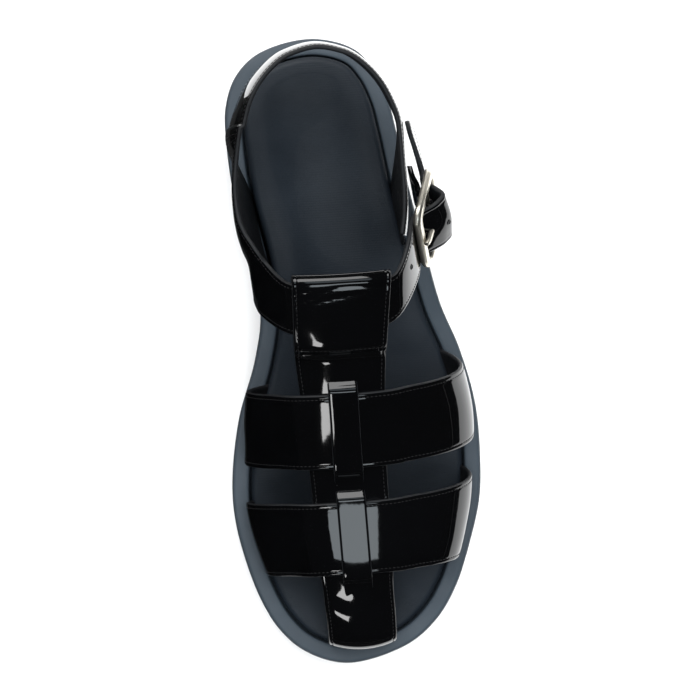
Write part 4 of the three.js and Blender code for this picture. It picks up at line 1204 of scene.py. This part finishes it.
# black card that only reflections see: painted shade in the patent's reflections
def addCard(name, corners, faces):
    finish = {"colour": (0.004, 0.004, 0.004, 1), "rough": 0.7}
    mesh = bpy.data.meshes.new(name)
    mesh.from_pydata(corners, [], faces)
    card = linked(name, mesh)
    material, tree, shader = newMaterial(name)
    shader["Base Color"].default_value = finish["colour"]
    shader["Roughness"].default_value = finish["rough"]
    mesh.materials.append(material)
    card.visible_camera = False
    card.visible_diffuse = False
    card.visible_shadow = False


# painted shade for reflections only: an upright beside the inner side, with a strip along the floor where
# the shaded gap lies, and a dark surround on the floor
def addCards():
    side = {"x": -0.066, "under": -0.03, "front": -0.14, "back": 0.124, "top": 0.095, "floor": 0.0006}
    profile = ((side["x"], side["top"]), (side["x"], side["floor"]), (side["under"], side["floor"]))
    corners = [(x, y, z) for x, z in profile for y in (side["front"], side["back"])]
    addCard("sideCard", corners, [(0, 1, 3, 2), (2, 3, 5, 4)])
    surround = {"left": -0.25, "right": 0.27, "front": -0.19, "back": 0.4, "outer": 2.5}
    inner = [(surround[x], surround[y]) for x, y in (("left", "front"), ("right", "front"),
                                                     ("right", "back"), ("left", "back"))]
    outer = [(math.copysign(surround["outer"], x), math.copysign(surround["outer"], y)) for x, y in inner]
    corners = [(x, y, side["floor"]) for x, y in inner + outer]
    addCard("floorCard", corners, [(i, (i + 1) % 4, (i + 1) % 4 + 4, i + 4) for i in range(3)])


def addCamera():
    view = {"place": (-0.0548, 0.0032, 1.028), "target": (0.0, 0.0, 0.028), "roll": 3.5, "lens": 122.9}
    lens = bpy.data.cameras.new("camera")
    lens.lens = view["lens"]
    camera = linked("camera", lens)
    roll = math.radians(view["roll"])
    back = (Vector(view["place"]) - Vector(view["target"])).normalized()
    right = Vector((math.sin(roll), math.cos(roll), 0)).cross(back).normalized()
    camera.matrix_world = Matrix((right, back.cross(right), back)).transposed().to_4x4()
    camera.location = view["place"]
    bpy.context.scene.camera = camera


def addWorld():
    fill = {"colour": (1, 1, 1, 1), "strength": 0.02}
    world = bpy.data.worlds.new("studio")
    world.use_nodes = True
    back = world.node_tree.nodes["Background"]
    back.inputs["Color"].default_value = fill["colour"]
    back.inputs["Strength"].default_value = fill["strength"]
    bpy.context.scene.world = world


panels = table(
    "name place size power mirrored colour",
    ("skyPanel", (0.25, 0.2, 2.1), (2.8, 2.8), 112, False, (1, 1, 1)),
    ("backPanel", (-0.35, 1.4, 1.4), (1.7, 1.2), 30, True, (1, 1, 1)),
    ("frontPanel", (0.0, -0.797, 1.834), (1.1, 0.52), 7.4, True, (0.85, 0.94, 1)),
    ("overPanel", (0.0, 0.62, 1.9), (1.2, 0.55), 2.6, True, (0.8, 0.92, 1)),
    ("sliverPanel", (-0.48, -1.47, 1.24), (0.22, 0.26), 1.8, True, (1, 1, 1)))
addFloor()
for row in panels:
    addPanel(**row)
addCards()
addWorld()
addCamera()
bpy.context.scene.view_settings.view_transform = "Standard"
print("stage ready")
